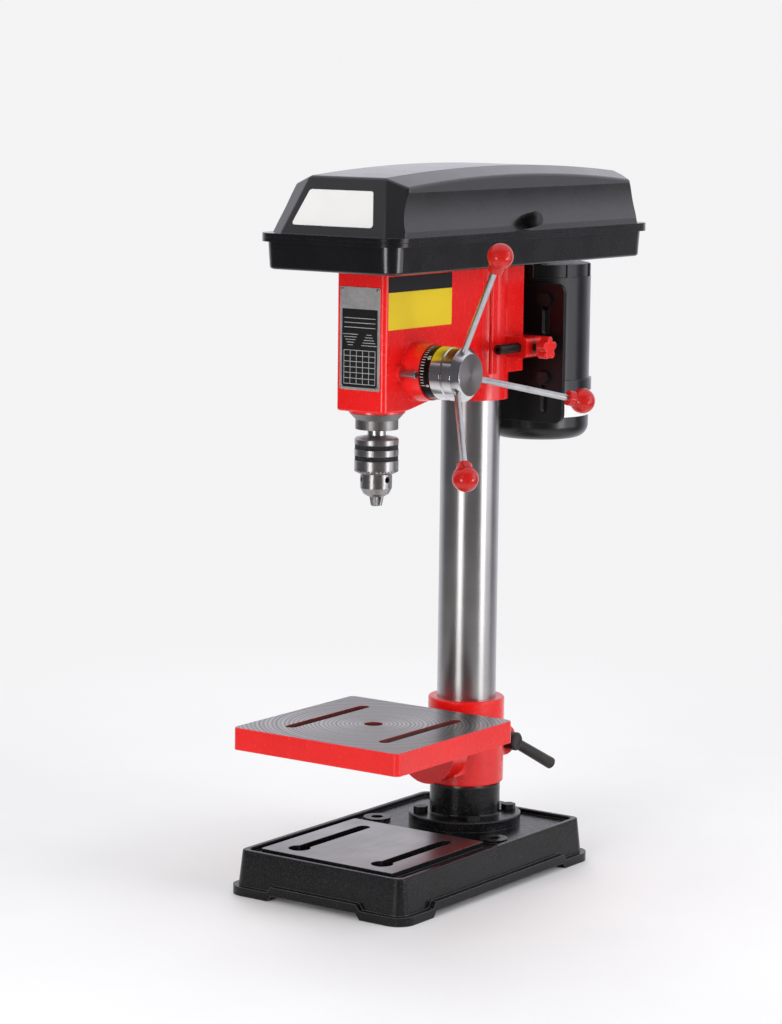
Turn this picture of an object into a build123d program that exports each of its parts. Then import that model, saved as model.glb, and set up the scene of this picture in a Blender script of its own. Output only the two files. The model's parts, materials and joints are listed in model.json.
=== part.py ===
from build123d import *
from math import acos, atan, cos, degrees, pi, radians, sin, sqrt, tan
import os

os.makedirs("parts", exist_ok=True)

# A bench drill. The origin lies on the bench, midway between the two bench bolts.
# +X is the operator's right, -Y the front and +Z up. Sizes are in millimetres.

# Fits
running_fit = 0.06      # radial gap of a shaft that turns or slides in its bore
bolt_fit = 0.2          # radial gap of a bolt in a plain hole
face_gap = 0.3          # gap between flat faces that move past each other
pick_band = 0.1         # height band in which edges are picked

# Base
base_length = 340
base_width = 214
column_inset = 79       # column axis, in front of the base's back edge
base_corner = 14
base_draft = 6.5        # lean of the cast walls, degrees
base_wall = 7
skirt_step = 4.5
skirt_height = 9
arch_height = 6
arch_slope = 5          # run of an arch's leaning ends
foot_length = 56
rim_height = 44
rim_thickness = 6
deck_height = 40
deck_thickness = 8
pad_width = 158
pad_margin = 21         # front edge of the machined pad, behind the base's front
pad_back = -29          # back edge of the machined pad
pad_corner = 2
pad_height = 5.5
pad_slot_spacing = 100
pad_slot_width = 13
pad_slot_entry = 22     # round entry at the front of each keyhole slot
pad_slot_margin = 24
pad_slot_end = 25
bench_bolt_spacing = 144
bench_bolt_hole = 12.5
bench_boss_diameter = 28
bench_boss_rise = 3
base_rib = 6
base_rib_foot = 15
base_rib_sink = 1.4     # end of a rib, inside the wall

# Column and its flange
column_setback = 54     # column axis, behind the bench bolts
column_diameter = 60
column_wall = 4
column_length = 566
flange_diameter = 115
flange_thickness = 10.5
flange_fillet = 2
flange_edge = 1
flange_bolt_circle = 92
flange_bolt_count = 4
flange_bolt_diameter = 8
flange_bolt_flats = 13
flange_bolt_head = 5.5
flange_bolt_reach = 14
socket_diameter = 72
socket_height = 41

# Table and its bracket
bracket_rest_gap = 2
bracket_collar = 78
bracket_height = 88
bracket_split = 4
bracket_edge = 2
clamp_ear = 12
clamp_ear_reach = 57    # clamp screw, behind the column axis
clamp_ear_radius = 15
clamp_rise = 33
clamp_screw_diameter = 10
clamp_head_flats = 17
clamp_head = 7
clamp_lever_length = 62
clamp_lever_diameter = 11
lever_lean = 14         # lean of the lever away from the bracket
lever_drop = 31         # slope of the lever, down to the back
lever_end = 12.4
lever_edge = 1
clamp_hub_diameter = 19
clamp_hub_length = 13
clamp_hub_edge = 1.5
tilt_rise = 42          # tilt axis, above the foot of the bracket
tilt_radius = 34
tilt_reach = 58         # tilt joint face, in front of the column axis
tilt_flange = 12
tilt_neck_width = 44
tilt_lug = 13
tilt_bolt_diameter = 16
tilt_bolt_flats = 24
tilt_bolt_head = 10
tilt_bolt_reach = 20
table_size = 198
table_rise = 43         # table top, above the tilt axis
table_skirt = 22
table_plate = 9
table_wall = 8
table_corner = 6
table_edge = 0.8
table_overlap = 8       # lug of the table, under its back edge
table_bore = 19
table_slot_spacing = 112
table_slot_width = 12
table_slot_run = 120

# Head casting
throat = 163            # spindle axis, in front of the column axis
head_cap = 9.5
head_socket = 128
head_collar = 75
nose_width = 58
nose_depth = 29         # nose front, in front of the spindle axis
nose_length = 36
nose_height = 137
nose_edge = 5
nose_ring = 55
nose_ring_height = 2
boss_sink = 1           # root of a boss, inside the nose
arm_run = 70
arm_height = 124
block_width = 73
block_front = 18
block_back = 40
block_height = 110.5
block_edge = 2
feed_rise = 38          # feed shaft, above the foot of the nose
feed_boss = 60
feed_boss_length = 19
feed_boss_draft = 7
spring_boss_length = 3
pointer_boss = 15
pointer_boss_length = 4.5
pointer_diameter = 7.5
pointer_length = 17
pointer_gap = 4
pointer_edge = 0.6
set_screw_diameter = 10
head_wall = 8
head_pocket_corner = 6
tray_screw = 5
tray_screw_spread = 44
tray_screw_reach = 9
tray_screw_head = 9
tray_screw_head_height = 3

# Quill, spindle and feed pinion
quill_diameter = 42
quill_drop = 16.2
quill_end = 41.8
quill_collar = 53.5
quill_collar_height = 7
quill_travel = 60
quill_margin = 12       # quill top, above the pinion when the quill is down
gear_module = 1.5
pinion_teeth = 12
rack_pitch_offset = 18  # rack pitch line, behind the spindle axis
rack_addendum = 1.1
gear_dedendum = 2.1
gear_backlash = 0.3
pressure_angle = 20
pinion_margin = 1.5     # side of the pinion, past the quill
feed_shaft_diameter = 21.8
shaft_end = 2           # thread that stands out of the nuts
bearing_height = 10
lower_bearing_diameter = 35
upper_bearing_diameter = 28
spindle_seat = 17
spindle_upper = 15
spindle_neck = 17.8
neck_length = 6.4
spline_count = 6
spline_width = 2.4
spline_depth = 1
spindle_body = 20
quill_wall_bore = 24
spline_top_gap = 4
insert_diameter = 25
insert_shoulder = 32
insert_bearing = 42
bearing_spacer = 4
pulley_nut_flats = 30
pulley_nut_height = 7
pulley_nut_thread = 22

# Drill chuck
chuck_diameter = 43
chuck_sleeve_length = 35
chuck_crown = 2         # cone on top of the body, above the sleeve
chuck_crown_diameter = 21
chuck_body_diameter = 31
chuck_body_length = 14
chuck_nose_diameter = 17
chuck_nose_length = 8.2
chuck_nose_bend = 2.6   # bend of the nose, above its foot
chuck_nose_middle = 25
chuck_core = 33
chuck_core_height = 8
chuck_cap = 39.8
chuck_bore = 13
chuck_bore_depth = 31
chuck_nut_height = 5
chuck_nut_rise = 1
chuck_nut_seat = 25
chuck_nut_gap = 0.45     # gap between the nut's cone and the jaws
chuck_teeth = 34
chuck_tooth_depth = 3.4
chuck_tooth_width = 2.4
chuck_bevel = 4
chuck_bevel_height = 2.2
chuck_groove_depth = 0.8
chuck_groove_width = 4.7
chuck_groove_pitch = 10.8
chuck_groove_drop = 11.2
chuck_edge = 1.5
chuck_key_hole = 6
chuck_key_rise = 17
taper_length = 23
taper_top = 15.7
taper_ratio = 0.05
jaw_count = 3
jaw_start = 51          # first jaw, degrees back from the right
jaw_diameter = 6.8
jaw_length = 38
jaw_lean = 12.5
jaw_travel = 24
jaw_gap = 0.4
jaw_overhang = 9.4
jaw_tip_offset = 2.3

# Feed hub, handles and depth collar
depth_collar_diameter = 52
depth_collar_length = 24
depth_scale_width = 11
depth_scale_depth = 1
hub_diameter = 53
hub_length = 11
hub_face = 43
hub_shoulder = 7
hub_spigot = 36
hub_edge = 1.2
hub_step = 2            # step of the shaft where the hub seats
handle_count = 3
handle_start = 105.5    # first handle, degrees up from the back
handle_lean = 30.2      # lean of the handles away from the head
handle_diameter = 6.4
handle_root = 14        # inner end of a rod, from the hub's axis
handle_length = 141     # hub axis to the centre of the ball, along the rod
handle_ball = 25
ball_neck = 15
ball_neck_length = 4
ball_seat = 8

# Return spring
spring_cap_diameter = 56
spring_cap_length = 13
spring_cap_wall = 2.5
spring_strip = 0.9
spring_width = 8
spring_turns = 5
spring_inner = 13
spring_pitch = 2.2
cap_nut_flats = 24
cap_nut_height = 4
cap_thread = 16

# Belt cover
tray_width = 152
tray_length = 449.5
tray_front = 82         # front of the tray, in front of the spindle axis
tray_height = 30.5
tray_corner = 14
tray_wall = 3
tray_flare = 2
rim_reach = 5.5
rim_lip = 4
lid_lip = 4
lid_height = 66.5       # crown of the lid, above its foot
lid_wall = 4
lid_edge = 4            # radius of the lid's outer edges
lid_side_set = 5.2      # foot of the lid's walls, inside the rim
lid_front_set = 11.3
lid_back_set = 13
lid_front_half = 61.8
lid_back_half = 64.6
lid_front_corner = 8.9
lid_back_corner = 8
lid_side_lean = 16      # lean of the walls over the lid's height
lid_front_lean = 30.7
lid_back_lean = 0.5
lid_front_narrow = 19.6
lid_back_narrow = 15.6
crown_front_drop = 11.5
crown_back_drop = 11
shoulder_set = 1.1      # inner edge of a shoulder, outside the front's top corner
shoulder_drop = 7.5
scoop_depth = 2
scoop_low = 9
scoop_high = 45
scoop_end = 6           # run of a scoop, past the ends of its panel
lid_knob_diameter = 15
lid_knob_length = 14
lid_knob_stem = 6
lid_knob_edge = 3
lid_knob_rise = 13
lid_knob_set = 14.8     # knob, in front of the column axis
hinge_radius = 4.5
hinge_clearance = 0.5
hinge_pin = 4
hinge_leaf = 12
hinge_side = 6
hinge_spread = 280
tray_spindle_hole = 50
tray_shaft_gap = 5

# Pulleys and belt
pulley_steps = 5
pulley_middle = 42      # belt radius of the middle step
pulley_step = 8
pulley_pitch = 12.5
pulley_rise = 7         # foot of the pulleys, above the head
pulley_rim = 3
groove_depth = 8
groove_mouth = 9.5
groove_floor = 5
belt_height = 5.5
belt_gap = 0.4

# Motor and its slide
motor_setback = 125     # motor axis, behind the column axis
motor_diameter = 106
motor_shell_height = 118
motor_wall = 3
motor_band = 111
motor_band_height = 12
motor_top_gap = 6.5
top_bell_height = 13
bottom_bell_height = 50
bell_radius = 14
bell_wall = 4
bell_rib = 5
bell_rib_count = 8
bell_rib_rise = 1.5
bell_spigot = 5
bell_hub = 40
motor_shaft = 14
rotor_diameter = 56
rotor_height = 70
stator_bore = 57
stator_height = 76
motor_bearing = 32
motor_bearing_height = 9
plate_width = 137
plate_height = 142
plate_thickness = 5
plate_top_drop = 4      # top of the plate, below the top of the shell
plate_corner = 9
motor_bolt_spacing = 94
motor_bolt_drop = 16
motor_bolt_pitch = 80
motor_bolt_diameter = 8
motor_slot_run = 32
motor_lug_width = 16
motor_lug_depth = 12
motor_lug_height = 24
motor_bolt_flats = 13
motor_bolt_head = 5.5
motor_bolt_reach = 14
motor_travel = 14
rod_diameter = 10
rod_spacing = 102
rod_rise = 26
rod_overhang = 36
rod_nut_flats = 17
rod_nut_height = 8
rod_end = 2
rod_chamfer = 1
rod_centre_hole = 4
lug_front = 6
lug_length = 30
lug_height = 21
lug_wall = 6
lock_stud = 8
lock_stud_length = 9
lock_knob = 24
lock_knob_thickness = 10
lock_lobes = 5
lock_lobe = 8
lock_hub = 13
lock_hub_length = 3
lock_edge = 1.5

# Switch
switch_width = 64
switch_height = 50
switch_depth = 30
switch_rise = 102
switch_set = 56
switch_wall = 2.5
button_diameter = 18
button_spacing = 30
button_height = 5
button_flange = 2
button_stem = 8
button_edge = 1
gland_flats = 16
gland_length = 15
gland_thread = 12
gland_bore = 7
gland_set = 52
switch_corner = 4

# Datums worked out from the sizes above
column_y = column_setback
base_back = column_y + column_inset
base_front = base_back - base_length
base_middle = (base_front + base_back) / 2
column_radius = column_diameter / 2
spindle_y = column_y - throat
motor_y = column_y + motor_setback
column_top = deck_height + column_length
head_top = column_top + head_cap
collar_bottom = column_top - head_socket
nose_bottom = head_top - nose_height
nose_foot = nose_bottom - nose_ring_height
nose_front = spindle_y - nose_depth
nose_side = nose_width / 2
block_bottom = head_top - block_height
pinion_radius = gear_module * pinion_teeth / 2
feed_y = spindle_y + rack_pitch_offset + pinion_radius
feed_z = nose_bottom + feed_rise
feed_bore = feed_shaft_diameter / 2 + running_fit
feed_face = nose_side + feed_boss_length
spring_face = -nose_side - spring_boss_length
quill_radius = quill_diameter / 2
quill_bore = quill_radius + running_fit
quill_foot = nose_foot - quill_drop
quill_top = feed_z + quill_travel + quill_margin
chuck_top = quill_foot - neck_length
bracket_bottom = deck_height + socket_height + bracket_rest_gap
tilt_z = bracket_bottom + tilt_rise
tilt_y = column_y - tilt_reach
table_top = tilt_z + table_rise
table_back = tilt_y - face_gap - tilt_lug + table_overlap
table_y = table_back - table_size / 2
tray_y = spindle_y - tray_front + tray_length / 2
tray_rim = head_top + tray_height
motor_top = head_top - motor_top_gap
motor_radius = motor_diameter / 2
plate_back = motor_y - motor_band / 2 - face_gap
rod_z = block_bottom + rod_rise
belt_z = head_top + pulley_rise + pulley_pitch * (pulley_steps - 0.5 - (pulley_steps - 1) / 2)


def across(x):
    """Plane square to the machine's width: sketch y to the back and z up."""
    return Plane.YZ.offset(x)


def facing(y):
    """Plane square to the machine's depth: sketch x to the right and z up."""
    return Plane.XZ.offset(-y)


def level(x, y, z):
    """Level plane with its own origin."""
    return Plane((x, y, z))


def upright(y):
    """Vertical axis on the machine's middle plane."""
    return Axis((0, y, 0), (0, 0, 1))


def cylinder(plane, radius, length, bore=0):
    """Adds a straight bar or tube on a plane."""
    with BuildSketch(plane) as section:
        Circle(radius)
        if bore:
            Circle(bore, mode=Mode.SUBTRACT)
    extrude(section.sketch, amount=length)


def drill(plane, radius, length):
    """Cuts a straight hole from a plane."""
    with BuildSketch(plane) as section:
        Circle(radius)
    extrude(section.sketch, amount=length, mode=Mode.SUBTRACT)


def turned(plane, axis, *points, mode=Mode.ADD):
    """Adds or cuts a solid of revolution from its half outline."""
    with BuildSketch(plane) as section:
        with BuildLine():
            Polyline(*points, close=True)
        make_face()
    revolve(section.sketch, axis=axis, mode=mode)


# Base casting
base_bed_width = base_width - 2 * skirt_step
base_bed_length = base_length - 2 * skirt_step
base_lean = tan(radians(base_draft))
rim_inner_width = base_bed_width - 2 * (rim_height * base_lean + rim_thickness)
rim_inner_length = base_bed_length - 2 * (rim_height * base_lean + rim_thickness)
pad_front = base_front + pad_margin
pad_y = (pad_front + pad_back) / 2
pad_slot_front = pad_front + pad_slot_margin
pad_slot_run = pad_back - pad_slot_end - pad_slot_front
bench_holes = [(-bench_bolt_spacing / 2, 0), (bench_bolt_spacing / 2, 0)]


def arch_bar(plane, centre, span, foot, length, mode):
    """Adds or cuts a bar through the base, with the sloping ends of the arch between two feet."""
    half = span / 2
    with BuildSketch(plane) as section:
        with Locations((centre, foot)):
            Polygon(
                (-half - arch_slope, 0),
                (half + arch_slope, 0),
                (half, arch_height),
                (-half, arch_height),
                align=None,
            )
    extrude(section.sketch, amount=length, mode=mode)


def arches(foot, mode):
    """Adds or cuts the bars of the arches on all four sides, at one height."""
    arch_bar(facing(base_back), 0, base_width - 2 * foot_length, foot, base_length, mode)
    arch_bar(across(-base_width / 2), base_middle, base_length - 2 * foot_length, foot, base_width, mode)


with BuildPart() as base:
    with BuildSketch(level(0, base_middle, 0)):
        RectangleRounded(base_bed_width, base_bed_length, base_corner)
    extrude(amount=rim_height, taper=base_draft)
    with BuildSketch(level(0, base_middle, 0)):
        RectangleRounded(base_width, base_length, base_corner + skirt_step)
    extrude(amount=skirt_height)
    arches(skirt_height, Mode.ADD)
    with BuildSketch(level(0, base_middle, 0)):
        RectangleRounded(base_bed_width - 2 * base_wall, base_bed_length - 2 * base_wall, base_corner / 2)
    extrude(amount=deck_height - deck_thickness, taper=base_draft, mode=Mode.SUBTRACT)
    arches(0, Mode.SUBTRACT)
    with BuildSketch(level(0, base_middle, deck_height)):
        RectangleRounded(rim_inner_width, rim_inner_length, base_corner / 2)
    extrude(amount=rim_height, mode=Mode.SUBTRACT)
    rim_edges = base.edges().filter_by_position(Axis.Z, rim_height - pick_band, rim_height + pick_band)
    fillet(rim_edges, rim_thickness / 4)
    # Ribs and bosses under the deck
    with BuildSketch(level(0, base_middle, base_rib_foot)):
        Rectangle(base_rib, base_bed_length - 2 * (base_wall - base_rib_sink))
        with GridLocations(0, base_length / 3, 1, 2):
            Rectangle(base_bed_width - 2 * (base_wall - base_rib_sink), base_rib)
    extrude(amount=deck_height - deck_thickness / 2 - base_rib_foot)
    cylinder(level(0, column_y, base_rib_foot), flange_diameter / 2, deck_height - base_rib_foot)
    with BuildSketch(level(0, pad_y, deck_height)):
        RectangleRounded(pad_width, pad_back - pad_front, pad_corner)
    extrude(amount=pad_height)
    with BuildSketch(Plane.XY):
        with Locations(*bench_holes):
            Circle(bench_boss_diameter / 2)
    extrude(amount=deck_height + bench_boss_rise)
    with BuildSketch(Plane.XY):
        with Locations(*bench_holes):
            Circle(bench_bolt_hole / 2)
    extrude(amount=deck_height + bench_boss_rise, mode=Mode.SUBTRACT)
    # Keyhole slots through the pad
    with BuildSketch(Plane.XY):
        with Locations((-pad_slot_spacing / 2, pad_slot_front), (pad_slot_spacing / 2, pad_slot_front)):
            Circle(pad_slot_entry / 2)
            with Locations((0, pad_slot_run / 2)):
                SlotCenterToCenter(pad_slot_run, pad_slot_width, rotation=90)
    extrude(amount=deck_height + pad_height, mode=Mode.SUBTRACT)
    # Tapped holes for the column flange
    with BuildSketch(level(0, column_y, base_rib_foot)):
        with PolarLocations(flange_bolt_circle / 2, flange_bolt_count, start_angle=45):
            Circle(flange_bolt_diameter / 2)
    extrude(amount=deck_height - base_rib_foot, mode=Mode.SUBTRACT)
base.part.label = "base"
export_step(base.part, "parts/base.step")

# Column flange, its bolts and the column
flange_top = deck_height + flange_thickness

with BuildPart() as column_flange:
    cylinder(level(0, column_y, deck_height), flange_diameter / 2, flange_thickness)
    chamfer(column_flange.edges().group_by(Axis.Z)[-1], flange_edge)
    cylinder(level(0, column_y, deck_height), socket_diameter / 2, socket_height)
    inner_corner = column_flange.edges().filter_by(GeomType.CIRCLE).filter_by_position(
        Axis.Z, flange_top - pick_band, flange_top + pick_band).sort_by(SortBy.RADIUS)[0]
    fillet(inner_corner, flange_fillet)
    drill(level(0, column_y, deck_height), column_radius + running_fit, socket_height)
    with BuildSketch(level(0, column_y, deck_height)):
        with PolarLocations(flange_bolt_circle / 2, flange_bolt_count, start_angle=45):
            Circle(flange_bolt_diameter / 2 + bolt_fit)
    extrude(amount=flange_thickness, mode=Mode.SUBTRACT)
column_flange.part.label = "column_flange"
export_step(column_flange.part, "parts/column_flange.step")

with BuildPart() as flange_bolts:
    with BuildSketch(level(0, column_y, flange_top)):
        with PolarLocations(flange_bolt_circle / 2, flange_bolt_count, start_angle=45):
            RegularPolygon(flange_bolt_flats / 2, 6, major_radius=False)
    extrude(amount=flange_bolt_head)
    with BuildSketch(level(0, column_y, flange_top)):
        with PolarLocations(flange_bolt_circle / 2, flange_bolt_count, start_angle=45):
            Circle(flange_bolt_diameter / 2 - running_fit)
    extrude(amount=-flange_thickness - flange_bolt_reach)
flange_bolts.part.label = "flange_bolts"
export_step(flange_bolts.part, "parts/flange_bolts.step")

with BuildPart() as column:
    cylinder(level(0, column_y, deck_height), column_radius, column_length, column_radius - column_wall)
column.part.label = "column"
export_step(column.part, "parts/column.step")

# Table bracket, split at the back and clamped by a screw
clamp_y = column_y + clamp_ear_reach
clamp_z = bracket_bottom + clamp_rise
ear_outside = bracket_split / 2 + clamp_ear

with BuildPart() as table_bracket:
    cylinder(level(0, column_y, bracket_bottom), bracket_collar / 2, bracket_height)
    fillet(table_bracket.edges().filter_by(GeomType.CIRCLE), bracket_edge)
    with BuildSketch(facing(tilt_y)):
        with Locations((0, tilt_z)):
            Circle(tilt_radius)
    extrude(amount=-tilt_flange)
    with BuildSketch(facing(tilt_y + tilt_flange / 2)):
        with Locations((0, tilt_z)):
            Rectangle(tilt_neck_width, 2 * tilt_radius - clamp_ear)
    extrude(amount=-(tilt_reach - tilt_flange / 2))
    with BuildSketch(across(-ear_outside)):
        with Locations((clamp_y, clamp_z)):
            Circle(clamp_ear_radius)
        with Locations(((column_y + clamp_y) / 2, clamp_z)):
            Rectangle(clamp_ear_reach, 2 * clamp_ear_radius)
    extrude(amount=2 * ear_outside)
    with BuildSketch(level(0, column_y + clamp_ear_reach / 2 + clamp_ear_radius, bracket_bottom)):
        Rectangle(bracket_split, clamp_ear_reach + 2 * clamp_ear_radius)
    extrude(amount=bracket_height, mode=Mode.SUBTRACT)
    drill(level(0, column_y, bracket_bottom), column_radius + running_fit, bracket_height)
    with BuildSketch(across(-ear_outside)):
        with Locations((clamp_y, clamp_z)):
            Circle(clamp_screw_diameter / 2 + running_fit)
    extrude(amount=2 * ear_outside, mode=Mode.SUBTRACT)
    with BuildSketch(facing(tilt_y)):
        with Locations((0, tilt_z)):
            Circle(tilt_bolt_diameter / 2)
    extrude(amount=-tilt_bolt_reach, mode=Mode.SUBTRACT)
table_bracket.part.label = "table_bracket"
export_step(table_bracket.part, "parts/table_bracket.step")

tilt_head_y = tilt_y - face_gap - tilt_lug - face_gap

with BuildPart() as table_tilt_bolt:
    with BuildSketch(facing(tilt_head_y)):
        with Locations((0, tilt_z)):
            RegularPolygon(tilt_bolt_flats / 2, 6, major_radius=False)
    extrude(amount=tilt_bolt_head)
    with BuildSketch(facing(tilt_head_y)):
        with Locations((0, tilt_z)):
            Circle(tilt_bolt_diameter / 2 - running_fit)
    extrude(amount=-(tilt_y - tilt_head_y + tilt_bolt_reach))
table_tilt_bolt.part.label = "table_tilt_bolt"
export_step(table_tilt_bolt.part, "parts/table_tilt_bolt.step")

# Tilting table
table_foot = table_top - table_skirt

with BuildPart() as table:
    with BuildSketch(level(0, table_y, table_foot)):
        RectangleRounded(table_size, table_size, table_corner)
    extrude(amount=table_skirt)
    with BuildSketch(level(0, table_y, table_foot)):
        RectangleRounded(table_size - 2 * table_wall, table_size - 2 * table_wall, table_corner / 2)
    extrude(amount=table_skirt - table_plate, mode=Mode.SUBTRACT)
    chamfer(table.edges().group_by(Axis.Z)[-1], table_edge)
    # Bosses round the slots and the centre hole
    with BuildSketch(level(0, table_y, table_foot + table_wall)):
        with Locations((0, spindle_y - table_y)):
            Circle(table_bore / 2 + table_wall)
        with GridLocations(table_slot_spacing, 0, 2, 1):
            SlotCenterToCenter(table_slot_run, table_slot_width + 2 * table_wall, rotation=90)
    extrude(amount=table_skirt - table_wall - table_plate / 2)
    with BuildSketch(level(0, table_y, table_foot)):
        with Locations((0, spindle_y - table_y)):
            Circle(table_bore / 2)
        with GridLocations(table_slot_spacing, 0, 2, 1):
            SlotCenterToCenter(table_slot_run, table_slot_width, rotation=90)
    extrude(amount=table_skirt, mode=Mode.SUBTRACT)
    # Tilting lug under the back edge
    with BuildSketch(facing(tilt_y - face_gap)):
        with Locations((0, tilt_z)):
            Circle(tilt_radius)
        with Locations((0, (tilt_z + table_top - table_plate / 2) / 2)):
            Rectangle(2 * tilt_radius, table_rise - table_plate / 2)
    extrude(amount=tilt_lug)
    with BuildSketch(facing(tilt_y)):
        with Locations((0, tilt_z)):
            Circle(tilt_bolt_diameter / 2)
    extrude(amount=face_gap + tilt_lug, mode=Mode.SUBTRACT)
table.part.label = "table"
export_step(table.part, "parts/table.step")

# Table clamp: a screw through the ears with a cranked lever
lever_foot = ear_outside + face_gap

with BuildPart() as table_clamp_screw:
    with BuildSketch(across(-ear_outside - face_gap)):
        with Locations((clamp_y, clamp_z)):
            Circle(clamp_screw_diameter / 2)
    extrude(amount=lever_foot + ear_outside + clamp_hub_length)
    with BuildSketch(across(-ear_outside - face_gap)):
        with Locations((clamp_y, clamp_z)):
            RegularPolygon(clamp_head_flats / 2, 6, major_radius=False)
    extrude(amount=-clamp_head)
table_clamp_screw.part.label = "table_clamp_screw"
export_step(table_clamp_screw.part, "parts/table_clamp_screw.step")

lever_direction = Vector(
    sin(radians(lever_lean)),
    cos(radians(lever_lean)) * cos(radians(lever_drop)),
    -cos(radians(lever_lean)) * sin(radians(lever_drop)),
)
lever_root = Vector(lever_foot + clamp_hub_length / 2, clamp_y, clamp_z)
lever_side = Vector(1, 0, 0).cross(lever_direction)
lever_plane = Plane(lever_root, x_dir=lever_side, z_dir=lever_side.cross(lever_direction))

with BuildPart() as table_clamp_lever:
    with BuildSketch(across(lever_foot)):
        with Locations((clamp_y, clamp_z)):
            Circle(clamp_hub_diameter / 2)
    extrude(amount=clamp_hub_length)
    chamfer(table_clamp_lever.edges(), clamp_hub_edge)
    turned(
        lever_plane,
        Axis(lever_root, lever_direction),
        (0, 0),
        (clamp_lever_diameter / 2, 0),
        (lever_end / 2, clamp_lever_length - lever_edge),
        (lever_end / 2 - lever_edge, clamp_lever_length),
        (0, clamp_lever_length),
    )
    with BuildSketch(across(lever_foot)):
        with Locations((clamp_y, clamp_z)):
            Circle(clamp_screw_diameter / 2 + running_fit)
    extrude(amount=clamp_hub_length, mode=Mode.SUBTRACT)
table_clamp_lever.part.label = "table_clamp_lever"
export_step(table_clamp_lever.part, "parts/table_clamp_lever.step")

# Head casting: nose, arm, block round the column, bosses and motor slide lugs
arm_bottom = head_top - arm_height
block_side = block_width / 2
rod_x = rod_spacing / 2
lug_y = column_y + lug_front
lug_outside = rod_x + rod_diameter / 2 + lug_wall
pointer_y = feed_y - (depth_collar_diameter + pointer_diameter) / 2 - pointer_gap
set_screw_heights = (block_bottom + set_screw_diameter, head_top - 2 * set_screw_diameter)
pocket_front = feed_y + feed_bore + head_wall
pocket_back = column_y - column_radius - head_wall
tray_screw_spots = [
    (-tray_screw_spread / 2, nose_front + head_wall),
    (tray_screw_spread / 2, nose_front + head_wall),
    (-block_side + head_wall, column_y + block_back - head_wall),
    (block_side - head_wall, column_y + block_back - head_wall),
]

with BuildPart() as head_casting:
    with BuildSketch(Plane.YZ):
        with BuildLine():
            Polyline(
                (nose_front, head_top),
                (nose_front, nose_bottom),
                (nose_front + nose_length, nose_bottom),
                (nose_front + nose_length + arm_run, arm_bottom),
                (column_y, arm_bottom),
                (column_y, head_top),
                close=True,
            )
        make_face()
    extrude(amount=nose_side, both=True)
    fillet(head_casting.edges().filter_by(Axis.Z).group_by(Axis.Y)[0], nose_edge)
    fillet(head_casting.faces().sort_by(Axis.Z)[0].edges().group_by(Axis.Y)[0], nose_edge / 2)
    with BuildSketch(level(0, column_y + (block_back - block_front) / 2, block_bottom)):
        RectangleRounded(block_width, block_front + block_back, block_edge)
    extrude(amount=block_height)
    cylinder(level(0, column_y, collar_bottom), head_collar / 2, head_top - collar_bottom)
    cylinder(level(0, spindle_y, nose_foot), nose_ring / 2, nose_ring_height + nose_edge)
    with BuildSketch(facing(lug_y)):
        with Locations((0, rod_z)):
            RectangleRounded(2 * lug_outside, lug_height, nose_edge)
    extrude(amount=-lug_length)
    with BuildSketch(across(nose_side - boss_sink)):
        with Locations((feed_y, feed_z)):
            Circle(feed_boss / 2)
    extrude(amount=feed_boss_length + boss_sink, taper=feed_boss_draft)
    with BuildSketch(across(boss_sink - nose_side)):
        with Locations((feed_y, feed_z)):
            Circle(feed_boss / 2)
    extrude(amount=-spring_boss_length - boss_sink)
    with BuildSketch(across(nose_side - boss_sink)):
        with Locations((pointer_y, feed_z)):
            Circle(pointer_boss / 2)
    extrude(amount=pointer_boss_length + boss_sink)
    # Bores for the quill, the column and the feed shaft
    drill(level(0, spindle_y, nose_foot), quill_bore, head_top - nose_foot)
    drill(level(0, column_y, collar_bottom), column_radius + running_fit, head_socket)
    with BuildSketch(across(spring_face)):
        with Locations((feed_y, feed_z)):
            Circle(feed_bore)
    extrude(amount=feed_face - spring_face, mode=Mode.SUBTRACT)
    # Pocket in the arm, open under the tray
    with BuildSketch(level(0, (pocket_front + pocket_back) / 2, arm_bottom + head_wall)):
        RectangleRounded(nose_width - 2 * head_wall, pocket_back - pocket_front, head_pocket_corner)
    extrude(amount=arm_height, mode=Mode.SUBTRACT)
    # Holes for the slide rods, their lock and the pointer
    with BuildSketch(facing(lug_y)):
        with Locations((-rod_x, rod_z), (rod_x, rod_z)):
            Circle(rod_diameter / 2 + running_fit)
    extrude(amount=-lug_length, mode=Mode.SUBTRACT)
    with BuildSketch(across(rod_x)):
        with Locations((lug_y + lug_length / 2, rod_z)):
            Circle(lock_stud / 2 + running_fit)
    extrude(amount=lug_outside - rod_x, mode=Mode.SUBTRACT)
    with BuildSketch(across(nose_side + pointer_boss_length)):
        with Locations((pointer_y, feed_z)):
            Circle(pointer_diameter / 2)
    extrude(amount=-2 * pointer_boss_length, mode=Mode.SUBTRACT)
    # Tapped holes for the set screws and the tray screws
    with BuildSketch(across(-block_side)):
        with Locations(*[(column_y, height) for height in set_screw_heights]):
            Circle(set_screw_diameter / 2)
    extrude(amount=block_side - column_radius, mode=Mode.SUBTRACT)
    with BuildSketch(level(0, 0, head_top)):
        with Locations(*tray_screw_spots):
            Circle(tray_screw / 2)
    extrude(amount=-tray_screw_reach, mode=Mode.SUBTRACT)
head_casting.part.label = "head_casting"
export_step(head_casting.part, "parts/head_casting.step")

with BuildPart() as head_set_screws:
    with BuildSketch(across(-block_side)):
        with Locations(*[(column_y, height) for height in set_screw_heights]):
            Circle(set_screw_diameter / 2 - running_fit)
            RegularPolygon(set_screw_diameter / 4, 6, major_radius=False, mode=Mode.SUBTRACT)
    extrude(amount=block_side - column_radius)
head_set_screws.part.label = "head_set_screws"
export_step(head_set_screws.part, "parts/head_set_screws.step")

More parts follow.
